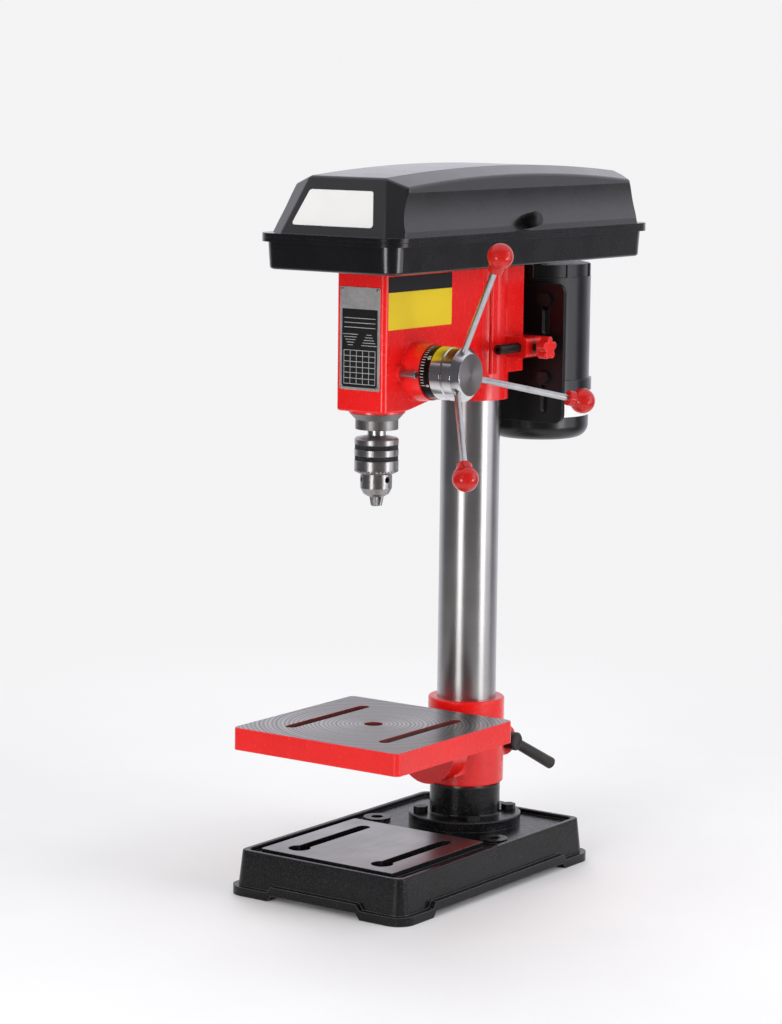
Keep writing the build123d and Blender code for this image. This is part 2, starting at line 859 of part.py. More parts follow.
with BuildPart() as depth_pointer:
    with BuildSketch(across(nose_side)):
        with Locations((pointer_y, feed_z)):
            Circle(pointer_diameter / 2 - running_fit)
    extrude(amount=pointer_boss_length + pointer_length)
    chamfer(depth_pointer.edges().group_by(Axis.X)[-1], pointer_edge)
depth_pointer.part.label = "depth_pointer"
export_step(depth_pointer.part, "parts/depth_pointer.step")

# Quill with its rack, and the feed pinion that drives it
rack_pitch = pi * gear_module
pitch_line = spindle_y + rack_pitch_offset
pinion_tip = pinion_radius + gear_module
pinion_root = pinion_radius - gear_dedendum
pressure = radians(pressure_angle)
base_radius = pinion_radius * cos(pressure)
rack_foot = feed_z - pinion_tip - gear_module
journal_y = rack_pitch_offset + pinion_radius - feed_shaft_diameter / 2
pinion_width = 2 * (sqrt(quill_radius**2 - journal_y**2) + pinion_margin)
rack_spaces = int((quill_top - rack_foot) / rack_pitch)
rack_first = int((feed_z - rack_foot) / rack_pitch)
rack_heights = [feed_z + (i - rack_first) * rack_pitch for i in range(rack_spaces + 1)]


def rack_half_space(height):
    """Half the width of a rack tooth space, at a height above the pitch line."""
    return rack_pitch / 4 + gear_backlash / 4 + height * tan(pressure)


def tooth_point(radius, side):
    """Point on one flank of the pinion tooth that lies along the sketch's x axis."""
    roll = acos(min(1, base_radius / radius))
    middle = (rack_pitch / 4 - gear_backlash / 4) / pinion_radius
    angle = middle + (tan(pressure) - pressure) - (tan(roll) - roll)
    return (radius * cos(angle), side * radius * sin(angle))


space_top = rack_addendum + gear_backlash
rack_space = [
    (space_top, -rack_half_space(space_top)),
    (space_top, rack_half_space(space_top)),
    (-gear_dedendum, rack_half_space(-gear_dedendum)),
    (-gear_dedendum, -rack_half_space(-gear_dedendum)),
]
flank_radii = [pinion_root, base_radius, pinion_radius, (pinion_radius + pinion_tip) / 2, pinion_tip]
pinion_tooth = [(0, 0)] + [tooth_point(radius, 1) for radius in flank_radii]
pinion_tooth = pinion_tooth + [tooth_point(radius, -1) for radius in reversed(flank_radii)]

with BuildPart() as quill:
    turned(
        facing(spindle_y),
        upright(spindle_y),
        (0, quill_foot),
        (quill_end / 2, quill_foot),
        (quill_end / 2, nose_foot - quill_collar_height),
        (quill_collar / 2, nose_foot - 2 * face_gap),
        (quill_collar / 2, nose_foot - face_gap),
        (quill_radius, nose_foot - face_gap),
        (quill_radius, quill_top),
        (0, quill_top),
    )
    with BuildSketch(level(0, pitch_line + rack_addendum + quill_radius / 2, rack_foot)):
        Rectangle(quill_diameter, quill_radius)
    extrude(amount=quill_top - rack_foot, mode=Mode.SUBTRACT)
    with BuildSketch(Plane.YZ):
        with Locations(*[(pitch_line, height) for height in rack_heights]):
            Polygon(*rack_space, align=None)
    extrude(amount=quill_radius, both=True, mode=Mode.SUBTRACT)
    drill(level(0, spindle_y, quill_foot), quill_wall_bore / 2, quill_top - quill_foot)
    drill(level(0, spindle_y, quill_foot), lower_bearing_diameter / 2, bearing_height)
    drill(level(0, spindle_y, quill_top - bearing_height), upper_bearing_diameter / 2, bearing_height)
quill.part.label = "quill"
export_step(quill.part, "parts/quill.step")

with BuildPart() as quill_bearings:
    cylinder(
        level(0, spindle_y, quill_foot),
        lower_bearing_diameter / 2 - running_fit,
        bearing_height,
        spindle_seat / 2 + running_fit,
    )
    cylinder(
        level(0, spindle_y, quill_top - bearing_height),
        upper_bearing_diameter / 2 - running_fit,
        bearing_height,
        spindle_upper / 2 + running_fit,
    )
quill_bearings.part.label = "quill_bearings"
export_step(quill_bearings.part, "parts/quill_bearings.step")

# Feed shaft along X, with the pinion behind the quill
cap_face = spring_face - spring_cap_length
shaft_left = cap_face - 2 * cap_nut_height - shaft_end
hub_start = feed_face + 2 * face_gap
hub_x = hub_start + depth_collar_length + face_gap
hub_end = hub_x + hub_length + hub_shoulder
hub_bore = feed_shaft_diameter / 2 - hub_step

with BuildPart() as feed_shaft:
    with BuildSketch(across(spring_face)):
        with Locations((feed_y, feed_z)):
            Circle(feed_shaft_diameter / 2)
    extrude(amount=-spring_face - pinion_width / 2)
    with BuildSketch(across(-pinion_width / 2)):
        with Locations((feed_y, feed_z)):
            Circle(pinion_root)
            with PolarLocations(0, pinion_teeth):
                Polygon(*pinion_tooth, align=None)
    extrude(amount=pinion_width)
    with BuildSketch(across(pinion_width / 2)):
        with Locations((feed_y, feed_z)):
            Circle(feed_shaft_diameter / 2)
    extrude(amount=hub_start - pinion_width / 2)
    with BuildSketch(across(hub_start)):
        with Locations((feed_y, feed_z)):
            Circle(hub_bore)
    extrude(amount=hub_x - hub_start)
    with BuildSketch(across(spring_face)):
        with Locations((feed_y, feed_z)):
            Circle(cap_thread / 2)
    extrude(amount=shaft_left - spring_face)
feed_shaft.part.label = "feed_shaft"
export_step(feed_shaft.part, "parts/feed_shaft.step")

feed_axis = Axis((0, feed_y, feed_z), (1, 0, 0))
handle_angles = [handle_start + i * 360 / handle_count for i in range(handle_count)]


def handle_plane(angle, distance):
    """Plane square to one handle, at a distance from the hub's axis along its rod."""
    lean = radians(handle_lean)
    turn = radians(angle)
    direction = Vector(sin(lean), cos(lean) * cos(turn), cos(lean) * sin(turn))
    return Plane(Vector(hub_x, feed_y, feed_z) + direction * distance, z_dir=direction)


with BuildPart() as feed_hub:
    turned(
        facing(feed_y),
        feed_axis,
        (hub_start, feed_z + hub_bore + running_fit),
        (hub_start, feed_z + hub_spigot / 2),
        (hub_x, feed_z + hub_spigot / 2),
        (hub_x, feed_z + hub_diameter / 2 - hub_edge),
        (hub_x + hub_edge, feed_z + hub_diameter / 2),
        (hub_x + hub_length, feed_z + hub_diameter / 2),
        (hub_end - hub_edge, feed_z + hub_face / 2),
        (hub_end, feed_z + hub_face / 2 - hub_edge),
        (hub_end, feed_z),
        (hub_x, feed_z),
        (hub_x, feed_z + hub_bore + running_fit),
    )
    for angle in handle_angles:
        drill(handle_plane(angle, handle_root), handle_diameter / 2 + running_fit, hub_diameter)
feed_hub.part.label = "feed_hub"
export_step(feed_hub.part, "parts/feed_hub.step")

with BuildPart() as feed_handles:
    for angle in handle_angles:
        cylinder(handle_plane(angle, handle_root), handle_diameter / 2, handle_length - handle_root)
feed_handles.part.label = "feed_handles"
export_step(feed_handles.part, "parts/feed_handles.step")

with BuildPart() as handle_knobs:
    for angle in handle_angles:
        with Locations(handle_plane(angle, handle_length)):
            Sphere(handle_ball / 2)
        neck_start = handle_length - handle_ball / 2 - ball_neck_length
        cylinder(handle_plane(angle, neck_start), ball_neck / 2, ball_neck_length + ball_seat)
        drill(handle_plane(angle, neck_start), handle_diameter / 2 + running_fit, handle_length - neck_start)
handle_knobs.part.label = "handle_knobs"
export_step(handle_knobs.part, "parts/handle_knobs.step")

# Depth collar, free to turn on the hub, with a graduated band round its inner end
depth_radius = depth_collar_diameter / 2
band_end = hub_start + depth_scale_width

with BuildPart() as depth_collar:
    turned(
        facing(feed_y),
        feed_axis,
        (hub_start, feed_z + hub_spigot / 2 + running_fit),
        (hub_start, feed_z + depth_radius - depth_scale_depth - running_fit),
        (band_end, feed_z + depth_radius - depth_scale_depth - running_fit),
        (band_end, feed_z + depth_radius),
        (hub_x - face_gap - hub_edge, feed_z + depth_radius),
        (hub_x - face_gap, feed_z + depth_radius - hub_edge),
        (hub_x - face_gap, feed_z + hub_spigot / 2 + running_fit),
    )
depth_collar.part.label = "depth_collar"
export_step(depth_collar.part, "parts/depth_collar.step")

with BuildPart() as depth_scale:
    with BuildSketch(across(hub_start)):
        with Locations((feed_y, feed_z)):
            Circle(depth_radius)
            Circle(depth_radius - depth_scale_depth, mode=Mode.SUBTRACT)
    extrude(amount=depth_scale_width)
depth_scale.part.label = "depth_scale"
export_step(depth_scale.part, "parts/depth_scale.step")

# Return spring in its cap, held by two nuts on the shaft
with BuildPart() as spring_cap:
    turned(
        facing(feed_y),
        feed_axis,
        (spring_face, feed_z + spring_cap_diameter / 2),
        (cap_face, feed_z + spring_cap_diameter / 2),
        (cap_face, feed_z + cap_thread / 2 + face_gap),
        (cap_face + spring_cap_wall, feed_z + cap_thread / 2 + face_gap),
        (cap_face + spring_cap_wall, feed_z + spring_cap_diameter / 2 - spring_cap_wall),
        (spring_face, feed_z + spring_cap_diameter / 2 - spring_cap_wall),
    )
spring_cap.part.label = "spring_cap"
export_step(spring_cap.part, "parts/spring_cap.step")

with BuildPart() as spring_cap_nuts:
    for i in range(2):
        with BuildSketch(across(cap_face - face_gap - i * (cap_nut_height + face_gap))):
            with Locations((feed_y, feed_z)):
                RegularPolygon(cap_nut_flats / 2, 6, major_radius=False)
                Circle(cap_thread / 2 + running_fit, mode=Mode.SUBTRACT)
        extrude(amount=-cap_nut_height)
spring_cap_nuts.part.label = "spring_cap_nuts"
export_step(spring_cap_nuts.part, "parts/spring_cap_nuts.step")

with BuildPart() as return_spring:
    with BuildSketch(across((spring_face + cap_face + spring_cap_wall - spring_width) / 2)):
        with BuildLine():
            for i in range(2 * spring_turns):
                side = 1 if i % 2 == 0 else -1
                start = side * (spring_inner + i * spring_pitch / 2)
                end = -side * (spring_inner + (i + 1) * spring_pitch / 2)
                middle = (start + end) / 2
                ThreePointArc(
                    (feed_y + start, feed_z),
                    (feed_y + middle, feed_z + abs(start - end) / 2 * side),
                    (feed_y + end, feed_z),
                )
        trace(line_width=spring_strip)
    extrude(amount=spring_width)
return_spring.part.label = "return_spring"
export_step(return_spring.part, "parts/return_spring.step")

# Spindle: taper nose, bearing seats in the quill and a splined tail
spindle_top = head_top + pulley_rise + pulley_steps * pulley_pitch - spline_top_gap
taper_foot = chuck_top - taper_length
taper_small = taper_top - taper_ratio * taper_length
seat_top = quill_foot + bearing_height + face_gap
upper_seat = quill_top - bearing_height - face_gap

with BuildPart() as spindle:
    turned(
        facing(spindle_y),
        upright(spindle_y),
        (0, taper_foot),
        (taper_small / 2, taper_foot),
        (taper_top / 2, chuck_top),
        (spindle_neck / 2, chuck_top),
        (spindle_neck / 2, quill_foot - face_gap),
        (spindle_seat / 2, quill_foot - face_gap),
        (spindle_seat / 2, seat_top),
        (spindle_body / 2, seat_top),
        (spindle_body / 2, upper_seat),
        (spindle_upper / 2, upper_seat),
        (spindle_upper / 2, spindle_top),
        (0, spindle_top),
    )
    with BuildSketch(level(0, spindle_y, quill_top)):
        with PolarLocations(spindle_upper / 2, spline_count):
            Rectangle(2 * spline_depth, spline_width)
    extrude(amount=spindle_top - quill_top, mode=Mode.SUBTRACT)
spindle.part.label = "spindle"
export_step(spindle.part, "parts/spindle.step")

# Drive sleeve that carries the spindle pulley, with keys in the spindle's splines
pulley_foot = head_top + pulley_rise
pulley_top = pulley_foot + pulley_steps * pulley_pitch
insert_foot = head_top - 2 * bearing_height - bearing_spacer
insert_bore = spindle_upper / 2 + running_fit
key_inner = spindle_upper / 2 - spline_depth + running_fit

with BuildPart() as pulley_insert:
    turned(
        facing(spindle_y),
        upright(spindle_y),
        (insert_bore, insert_foot),
        (insert_diameter / 2, insert_foot),
        (insert_diameter / 2, head_top + tray_wall + face_gap),
        (insert_shoulder / 2, head_top + tray_wall + face_gap),
        (insert_shoulder / 2, pulley_foot),
        (insert_diameter / 2, pulley_foot),
        (insert_diameter / 2, pulley_top),
        (pulley_nut_thread / 2, pulley_top),
        (pulley_nut_thread / 2, pulley_top + pulley_nut_height),
        (insert_bore, pulley_top + pulley_nut_height),
    )
    with BuildSketch(level(0, spindle_y, insert_foot)):
        with PolarLocations((key_inner + insert_bore + face_gap) / 2, spline_count):
            Rectangle(insert_bore - key_inner + face_gap, spline_width - 2 * running_fit)
    extrude(amount=pulley_top - insert_foot)
pulley_insert.part.label = "pulley_insert"
export_step(pulley_insert.part, "parts/pulley_insert.step")

with BuildPart() as insert_bearings:
    for foot in (insert_foot, head_top - bearing_height):
        cylinder(
            level(0, spindle_y, foot),
            insert_bearing / 2,
            bearing_height,
            insert_diameter / 2 + running_fit,
        )
insert_bearings.part.label = "insert_bearings"
export_step(insert_bearings.part, "parts/insert_bearings.step")

# Stepped pulleys, one the other way up, and the belt on their middle steps
belt_radii = [pulley_middle + pulley_step * ((pulley_steps - 1) / 2 - i) for i in range(pulley_steps)]


def pulley_outline(bore, radii):
    """Half outline of a stepped pulley from its foot up, with one groove for each belt radius."""
    points = [(bore, pulley_foot)]
    for i in range(len(radii)):
        rim = radii[i] + pulley_rim
        floor = rim - groove_depth
        middle = pulley_foot + (i + 0.5) * pulley_pitch
        points.append((rim, middle - pulley_pitch / 2))
        points.append((rim, middle - groove_mouth / 2))
        points.append((floor, middle - groove_floor / 2))
        points.append((floor, middle + groove_floor / 2))
        points.append((rim, middle + groove_mouth / 2))
        points.append((rim, middle + pulley_pitch / 2))
    return points + [(bore, pulley_top)]


with BuildPart() as spindle_pulley:
    turned(
        facing(spindle_y),
        upright(spindle_y),
        *pulley_outline(insert_diameter / 2 + running_fit, belt_radii),
    )
spindle_pulley.part.label = "spindle_pulley"
export_step(spindle_pulley.part, "parts/spindle_pulley.step")

with BuildPart() as pulley_nut:
    with BuildSketch(level(0, spindle_y, pulley_top)):
        RegularPolygon(pulley_nut_flats / 2, 6, major_radius=False)
        Circle(pulley_nut_thread / 2 + running_fit, mode=Mode.SUBTRACT)
    extrude(amount=pulley_nut_height)
pulley_nut.part.label = "pulley_nut"
export_step(pulley_nut.part, "parts/pulley_nut.step")

with BuildPart() as motor_pulley:
    turned(
        facing(motor_y),
        upright(motor_y),
        *pulley_outline(motor_shaft / 2 + running_fit, belt_radii[::-1]),
    )
motor_pulley.part.label = "motor_pulley"
export_step(motor_pulley.part, "parts/motor_pulley.step")

belt_outer = pulley_middle + pulley_rim - belt_gap
belt_inner = belt_outer - belt_height
groove_slope = (groove_mouth - groove_floor) / groove_depth


def belt_half_width(radius):
    """Half the belt's width at a radius: the groove's, less the gap at each flank."""
    depth = pulley_middle + pulley_rim - radius
    return (groove_mouth - groove_slope * depth) / 2 - belt_gap


belt_section = [
    (belt_inner, -belt_half_width(belt_inner)),
    (belt_inner, belt_half_width(belt_inner)),
    (belt_outer, belt_half_width(belt_outer)),
    (belt_outer, -belt_half_width(belt_outer)),
]

with BuildPart() as v_belt:
    with BuildSketch(facing(motor_y)) as run_section:
        with Locations((0, belt_z)):
            Polygon(*belt_section, align=None)
    extrude(run_section.sketch, amount=motor_y - spindle_y)
    mirror(about=Plane.YZ)
    revolve(run_section.sketch, axis=upright(motor_y), revolution_arc=180)
    with BuildSketch(facing(spindle_y)) as turn_section:
        with Locations((0, belt_z)):
            Polygon(*belt_section, align=None)
    revolve(turn_section.sketch, axis=Axis((0, spindle_y, 0), (0, 0, -1)), revolution_arc=180)
v_belt.part.label = "v_belt"
export_step(v_belt.part, "parts/v_belt.step")

# Motor: shell between two bells, with the rotor, stator and bearings inside
shell_top = motor_top - top_bell_height
shell_bottom = shell_top - motor_shell_height
motor_bottom = shell_bottom - bottom_bell_height
shell_bore = motor_radius - motor_wall
core_z = (shell_top + shell_bottom) / 2
plate_front = plate_back - plate_thickness
plate_top = shell_top - plate_top_drop
plate_z = plate_top - plate_height / 2
bolt_x = motor_bolt_spacing / 2
bolt_top_z = plate_top - motor_bolt_drop
bolt_rows = (bolt_top_z, bolt_top_z - motor_bolt_pitch)
motor_bolt_spots = [(x, z) for x in (-bolt_x, bolt_x) for z in bolt_rows]
bearing_top_z = motor_top - bell_wall - motor_bearing_height
bearing_low_z = motor_bottom + bell_wall
lug_inside = bolt_x - motor_lug_width / 2
lug_root = bolt_x - motor_lug_width / 4


def shell_front(x):
    """Front of the motor's shell at a distance from the middle plane, inside its wall."""
    return motor_y - sqrt((motor_radius - motor_wall / 2) ** 2 - x**2)


motor_lug_plan = [
    (lug_inside, plate_back),
    (lug_inside + motor_lug_width, plate_back),
    (lug_inside + motor_lug_width, plate_back + motor_lug_depth),
    (lug_root, shell_front(lug_root)),
    (lug_inside, shell_front(lug_inside)),
]

with BuildPart() as motor_shell:
    cylinder(level(0, motor_y, shell_bottom), motor_radius, motor_shell_height)
    cylinder(level(0, motor_y, shell_bottom), motor_band / 2, motor_band_height)
    for z in bolt_rows:
        with BuildSketch(level(0, 0, z - motor_lug_height / 2)):
            Polygon(*motor_lug_plan, align=None)
            mirror(about=Plane.YZ)
        extrude(amount=motor_lug_height)
    drill(level(0, motor_y, shell_bottom), shell_bore, motor_shell_height)
    with BuildSketch(facing(plate_back)):
        with Locations(*motor_bolt_spots):
            Circle(motor_bolt_diameter / 2)
    extrude(amount=-motor_bolt_reach, mode=Mode.SUBTRACT)
motor_shell.part.label = "motor_shell"
export_step(motor_shell.part, "parts/motor_shell.step")

with BuildPart() as motor_top_bell:
    turned(
        facing(motor_y),
        upright(motor_y),
        (motor_shaft / 2 + face_gap, motor_top),
        (motor_radius - bell_rib_rise, motor_top),
        (motor_radius - bell_rib_rise, shell_top),
        (shell_bore - running_fit, shell_top),
        (shell_bore - running_fit, shell_top - bell_spigot),
        (shell_bore - bell_wall, shell_top - bell_spigot),
        (shell_bore - bell_wall, motor_top - bell_wall),
        (bell_hub / 2, motor_top - bell_wall),
        (bell_hub / 2, bearing_top_z),
        (motor_bearing / 2, bearing_top_z),
        (motor_bearing / 2, motor_top - bell_wall),
        (motor_shaft / 2 + face_gap, motor_top - bell_wall),
    )
    with BuildSketch(level(0, motor_y, shell_top)):
        with PolarLocations(motor_radius - bell_wall / 2, bell_rib_count, start_angle=180 / bell_rib_count):
            Rectangle(bell_wall, bell_rib)
    extrude(amount=top_bell_height)
motor_top_bell.part.label = "motor_top_bell"
export_step(motor_top_bell.part, "parts/motor_top_bell.step")

with BuildPart() as motor_bottom_bell:
    cylinder(level(0, motor_y, motor_bottom), motor_radius, bottom_bell_height)
    fillet(motor_bottom_bell.edges().group_by(Axis.Z)[0], bell_radius)
    offset(amount=-bell_wall, openings=motor_bottom_bell.faces().sort_by(Axis.Z)[-1])
    cylinder(level(0, motor_y, bearing_low_z), bell_hub / 2, motor_bearing_height)
    drill(level(0, motor_y, bearing_low_z), motor_bearing / 2, motor_bearing_height)
motor_bottom_bell.part.label = "motor_bottom_bell"
export_step(motor_bottom_bell.part, "parts/motor_bottom_bell.step")

with BuildPart() as motor_stator:
    cylinder(
        level(0, motor_y, core_z - stator_height / 2),
        shell_bore - running_fit,
        stator_height,
        stator_bore / 2,
    )
motor_stator.part.label = "motor_stator"
export_step(motor_stator.part, "parts/motor_stator.step")

with BuildPart() as motor_bearings:
    for foot in (bearing_low_z, bearing_top_z):
        cylinder(
            level(0, motor_y, foot),
            motor_bearing / 2 - running_fit,
            motor_bearing_height,
            motor_shaft / 2 + running_fit,
        )
motor_bearings.part.label = "motor_bearings"
export_step(motor_bearings.part, "parts/motor_bearings.step")

with BuildPart() as motor_rotor:
    shaft_foot = bearing_low_z + face_gap
    cylinder(level(0, motor_y, shaft_foot), motor_shaft / 2, pulley_top - shaft_foot)
    cylinder(level(0, motor_y, core_z - rotor_height / 2), rotor_diameter / 2, rotor_height)
motor_rotor.part.label = "motor_rotor"
export_step(motor_rotor.part, "parts/motor_rotor.step")

# Motor plate on two rods that slide in the head, and the knob that locks them
with BuildPart() as motor_plate:
    with BuildSketch(facing(plate_back)):
        with Locations((0, plate_z)):
            RectangleRounded(plate_width, plate_height, plate_corner)
        with Locations(*[(x, z - motor_slot_run / 2) for x, z in motor_bolt_spots]):
            SlotCenterToCenter(
                motor_slot_run,
                motor_bolt_diameter + 2 * bolt_fit,
                rotation=90,
                mode=Mode.SUBTRACT,
            )
        with Locations((-rod_x, rod_z), (rod_x, rod_z)):
            Circle(rod_diameter / 2 + running_fit, mode=Mode.SUBTRACT)
    extrude(amount=plate_thickness)
motor_plate.part.label = "motor_plate"
export_step(motor_plate.part, "parts/motor_plate.step")

with BuildPart() as motor_bolts:
    with BuildSketch(facing(plate_front)):
        with Locations(*motor_bolt_spots):
            RegularPolygon(motor_bolt_flats / 2, 6, major_radius=False)
    extrude(amount=motor_bolt_head)
    with BuildSketch(facing(plate_front)):
        with Locations(*motor_bolt_spots):
            Circle(motor_bolt_diameter / 2 - running_fit)
    extrude(amount=-plate_thickness - motor_bolt_reach)
motor_bolts.part.label = "motor_bolts"
export_step(motor_bolts.part, "parts/motor_bolts.step")

rod_front = lug_y - rod_overhang
rod_back = plate_back + rod_nut_height + rod_end

with BuildPart() as slide_rods:
    with BuildSketch(facing(rod_front)):
        with Locations((-rod_x, rod_z), (rod_x, rod_z)):
            Circle(rod_diameter / 2)
    extrude(amount=rod_front - rod_back)
    chamfer(slide_rods.edges().group_by(Axis.Y)[0], rod_chamfer)
    with BuildSketch(facing(rod_front)):
        with Locations((-rod_x, rod_z), (rod_x, rod_z)):
            Circle(rod_centre_hole / 2)
    extrude(amount=-rod_diameter, mode=Mode.SUBTRACT)
slide_rods.part.label = "slide_rods"
export_step(slide_rods.part, "parts/slide_rods.step")

with BuildPart() as rod_nuts:
    for y in (plate_front, plate_back + rod_nut_height):
        with BuildSketch(facing(y)):
            with Locations((-rod_x, rod_z), (rod_x, rod_z)):
                RegularPolygon(rod_nut_flats / 2, 6, major_radius=False)
                Circle(rod_diameter / 2 + running_fit, mode=Mode.SUBTRACT)
        extrude(amount=rod_nut_height)
rod_nuts.part.label = "rod_nuts"
export_step(rod_nuts.part, "parts/rod_nuts.step")

lock_y = lug_y + lug_length / 2
lock_tip = rod_x + rod_diameter / 2 + face_gap
lock_face = lug_outside + lock_stud_length

with BuildPart() as motor_lock_screw:
    with BuildSketch(across(lock_tip)):
        with Locations((lock_y, rod_z)):
            Circle(lock_stud / 2)
    extrude(amount=lock_face + lock_knob_thickness / 2 - lock_tip)
motor_lock_screw.part.label = "motor_lock_screw"
export_step(motor_lock_screw.part, "parts/motor_lock_screw.step")

with BuildPart() as motor_lock_knob:
    with BuildSketch(across(lock_face)):
        with Locations((lock_y, rod_z)):
            Circle(lock_knob / 2 - lock_lobe / 2)
            with PolarLocations(lock_knob / 2 - lock_lobe / 2, lock_lobes, start_angle=90):
                Circle(lock_lobe / 2)
    extrude(amount=lock_knob_thickness)
    fillet(motor_lock_knob.edges().group_by(Axis.X)[-1], lock_edge)
    with BuildSketch(across(lock_face)):
        with Locations((lock_y, rod_z)):
            Circle(lock_hub / 2)
    extrude(amount=-lock_hub_length)
    with BuildSketch(across(lock_face - lock_hub_length)):
        with Locations((lock_y, rod_z)):
            Circle(lock_stud / 2 + running_fit)
    extrude(amount=lock_hub_length + lock_knob_thickness / 2, mode=Mode.SUBTRACT)
motor_lock_knob.part.label = "motor_lock_knob"
export_step(motor_lock_knob.part, "parts/motor_lock_knob.step")

# Belt cover: a tray screwed to the head, with a hinged lid
tray_draft = degrees(atan(tray_flare / tray_height))
rim_width = tray_width + 2 * (tray_flare + rim_reach)
rim_length = tray_length + 2 * (tray_flare + rim_reach)
rim_front = tray_y - rim_length / 2
rim_back = tray_y + rim_length / 2
lid_foot = tray_rim + face_gap
lid_side = rim_width / 2 - lid_side_set
hinge_x = -rim_width / 2 - hinge_radius - hinge_clearance
hinge_z = tray_rim + face_gap / 2
hinge_spots = [tray_y - hinge_spread / 2, tray_y + hinge_spread / 2]
leaf_inside = -rim_width / 2 + rim_reach / 2


def knuckle(y, length, leaf_z, leaf_height):
    """Adds a hinge knuckle from y towards the front, with a leaf that joins it to the rim."""
    with BuildSketch(facing(y)) as section:
        with Locations((hinge_x, hinge_z)):
            Circle(hinge_radius)
        with Locations(((hinge_x + leaf_inside) / 2, leaf_z + leaf_height / 2)):
            Rectangle(leaf_inside - hinge_x, leaf_height)
        with Locations((hinge_x, hinge_z)):
            Circle(hinge_pin / 2 + running_fit, mode=Mode.SUBTRACT)
    extrude(section.sketch, amount=length)


with BuildPart() as belt_tray:
    with BuildSketch(level(0, tray_y, head_top)):
        RectangleRounded(tray_width, tray_length, tray_corner)
    extrude(amount=tray_height, taper=-tray_draft)
    fillet(belt_tray.edges().group_by(Axis.Z)[0], tray_wall)
    with BuildSketch(level(0, tray_y, tray_rim - rim_lip)):
        RectangleRounded(rim_width, rim_length, tray_corner + tray_flare + rim_reach)
    extrude(amount=rim_lip)
    with BuildSketch(level(0, tray_y, head_top + tray_wall)):
        RectangleRounded(tray_width - 2 * tray_wall, tray_length - 2 * tray_wall, tray_corner - tray_wall)
    extrude(amount=tray_height, taper=-tray_draft, mode=Mode.SUBTRACT)
    drill(level(0, spindle_y, head_top), tray_spindle_hole / 2, tray_wall)
    with BuildSketch(level(0, motor_y - motor_travel / 2, head_top)):
        SlotCenterToCenter(motor_travel, motor_shaft + 2 * tray_shaft_gap, rotation=90)
    extrude(amount=tray_wall, mode=Mode.SUBTRACT)
    with BuildSketch(level(0, 0, head_top)):
        with Locations(*tray_screw_spots):
            Circle(tray_screw / 2 + bolt_fit)
    extrude(amount=tray_wall, mode=Mode.SUBTRACT)
    for spot in hinge_spots:
        knuckle(spot + hinge_leaf / 2 + face_gap + hinge_side, hinge_side, tray_rim - rim_lip, rim_lip)
        knuckle(spot - hinge_leaf / 2 - face_gap, hinge_side, tray_rim - rim_lip, rim_lip)
belt_tray.part.label = "belt_tray"
export_step(belt_tray.part, "parts/belt_tray.step")

with BuildPart() as tray_screws:
    with BuildSketch(level(0, 0, head_top + tray_wall)):
        with Locations(*tray_screw_spots):
            Circle(tray_screw_head / 2)
    extrude(amount=tray_screw_head_height)
    with BuildSketch(level(0, 0, head_top + tray_wall)):
        with Locations(*tray_screw_spots):
            Circle(tray_screw / 2 - running_fit)
    extrude(amount=-tray_wall - tray_screw_reach)
tray_screws.part.label = "tray_screws"
export_step(tray_screws.part, "parts/tray_screws.step")

with BuildPart() as lid_hinge_pins:
    for spot in hinge_spots:
        with BuildSketch(facing(spot + hinge_leaf / 2 + face_gap + hinge_side)):
            with Locations((hinge_x, hinge_z)):
                Circle(hinge_pin / 2)
        extrude(amount=hinge_leaf + 2 * (face_gap + hinge_side))
lid_hinge_pins.part.label = "lid_hinge_pins"
export_step(lid_hinge_pins.part, "parts/lid_hinge_pins.step")


def lid_outline(share):
    """Corners of the lid at a share of its height, round from the front on the right."""
    side = lid_side - share * lid_side_lean
    front_half = lid_front_half - share * lid_front_narrow
    back_half = lid_back_half - share * lid_back_narrow
    front = rim_front + lid_front_set + share * lid_front_lean
    back = rim_back - lid_back_set - share * lid_back_lean
    front_corner = front + lid_front_corner * (side - front_half) / (lid_side - lid_front_half)
    back_corner = back - lid_back_corner * (side - back_half) / (lid_side - lid_back_half)
    right = [(front_half, front), (side, front_corner), (side, back_corner), (back_half, back)]
    left = [(-x, y) for x, y in reversed(right)]
    return right + left


foot_corners = lid_outline(0)
top_corners = lid_outline(1)
crown_half = top_corners[0][0] + shoulder_set
shoulder_width = top_corners[1][0] - crown_half
crown_top = lid_foot + lid_height


def crown_section(x, crest):
    """Side view of the lid under its arched crown, on a plane across the machine."""
    with BuildSketch(across(x)) as section:
        with BuildLine():
            ThreePointArc(
                (rim_front, crest - crown_front_drop),
                ((rim_front + rim_back) / 2, crest),
                (rim_back, crest - crown_back_drop),
            )
            Polyline(
                (rim_back, crest - crown_back_drop),
                (rim_back, lid_foot - lid_height),
                (rim_front, lid_foot - lid_height),
                (rim_front, crest - crown_front_drop),
            )
        make_face()
    return section.sketch


def lid_section(z, corners, inset):
    """Plan of the lid at one height, drawn in by an inset."""
    with BuildSketch(level(0, 0, z)) as section:
        Polygon(*corners, align=None)
        if inset:
            offset(amount=-inset, kind=Kind.INTERSECTION, mode=Mode.REPLACE)
    return section.sketch


def lid_form(inset):
    """Solid of the lid's body, or of its hollow where the inset is the wall."""
    crest = crown_top - inset
    slope = degrees(atan(shoulder_drop / shoulder_width))
    with BuildPart() as form:
        extrude(crown_section(0, crest), amount=crown_half)
        extrude(crown_section(crown_half, crest), amount=lid_side - crown_half, taper=slope)
        mirror(about=Plane.YZ)
        sections = [lid_section(lid_foot, foot_corners, inset), lid_section(crown_top, top_corners, inset)]
        loft(sections, ruled=True, mode=Mode.INTERSECT)
    return form.part


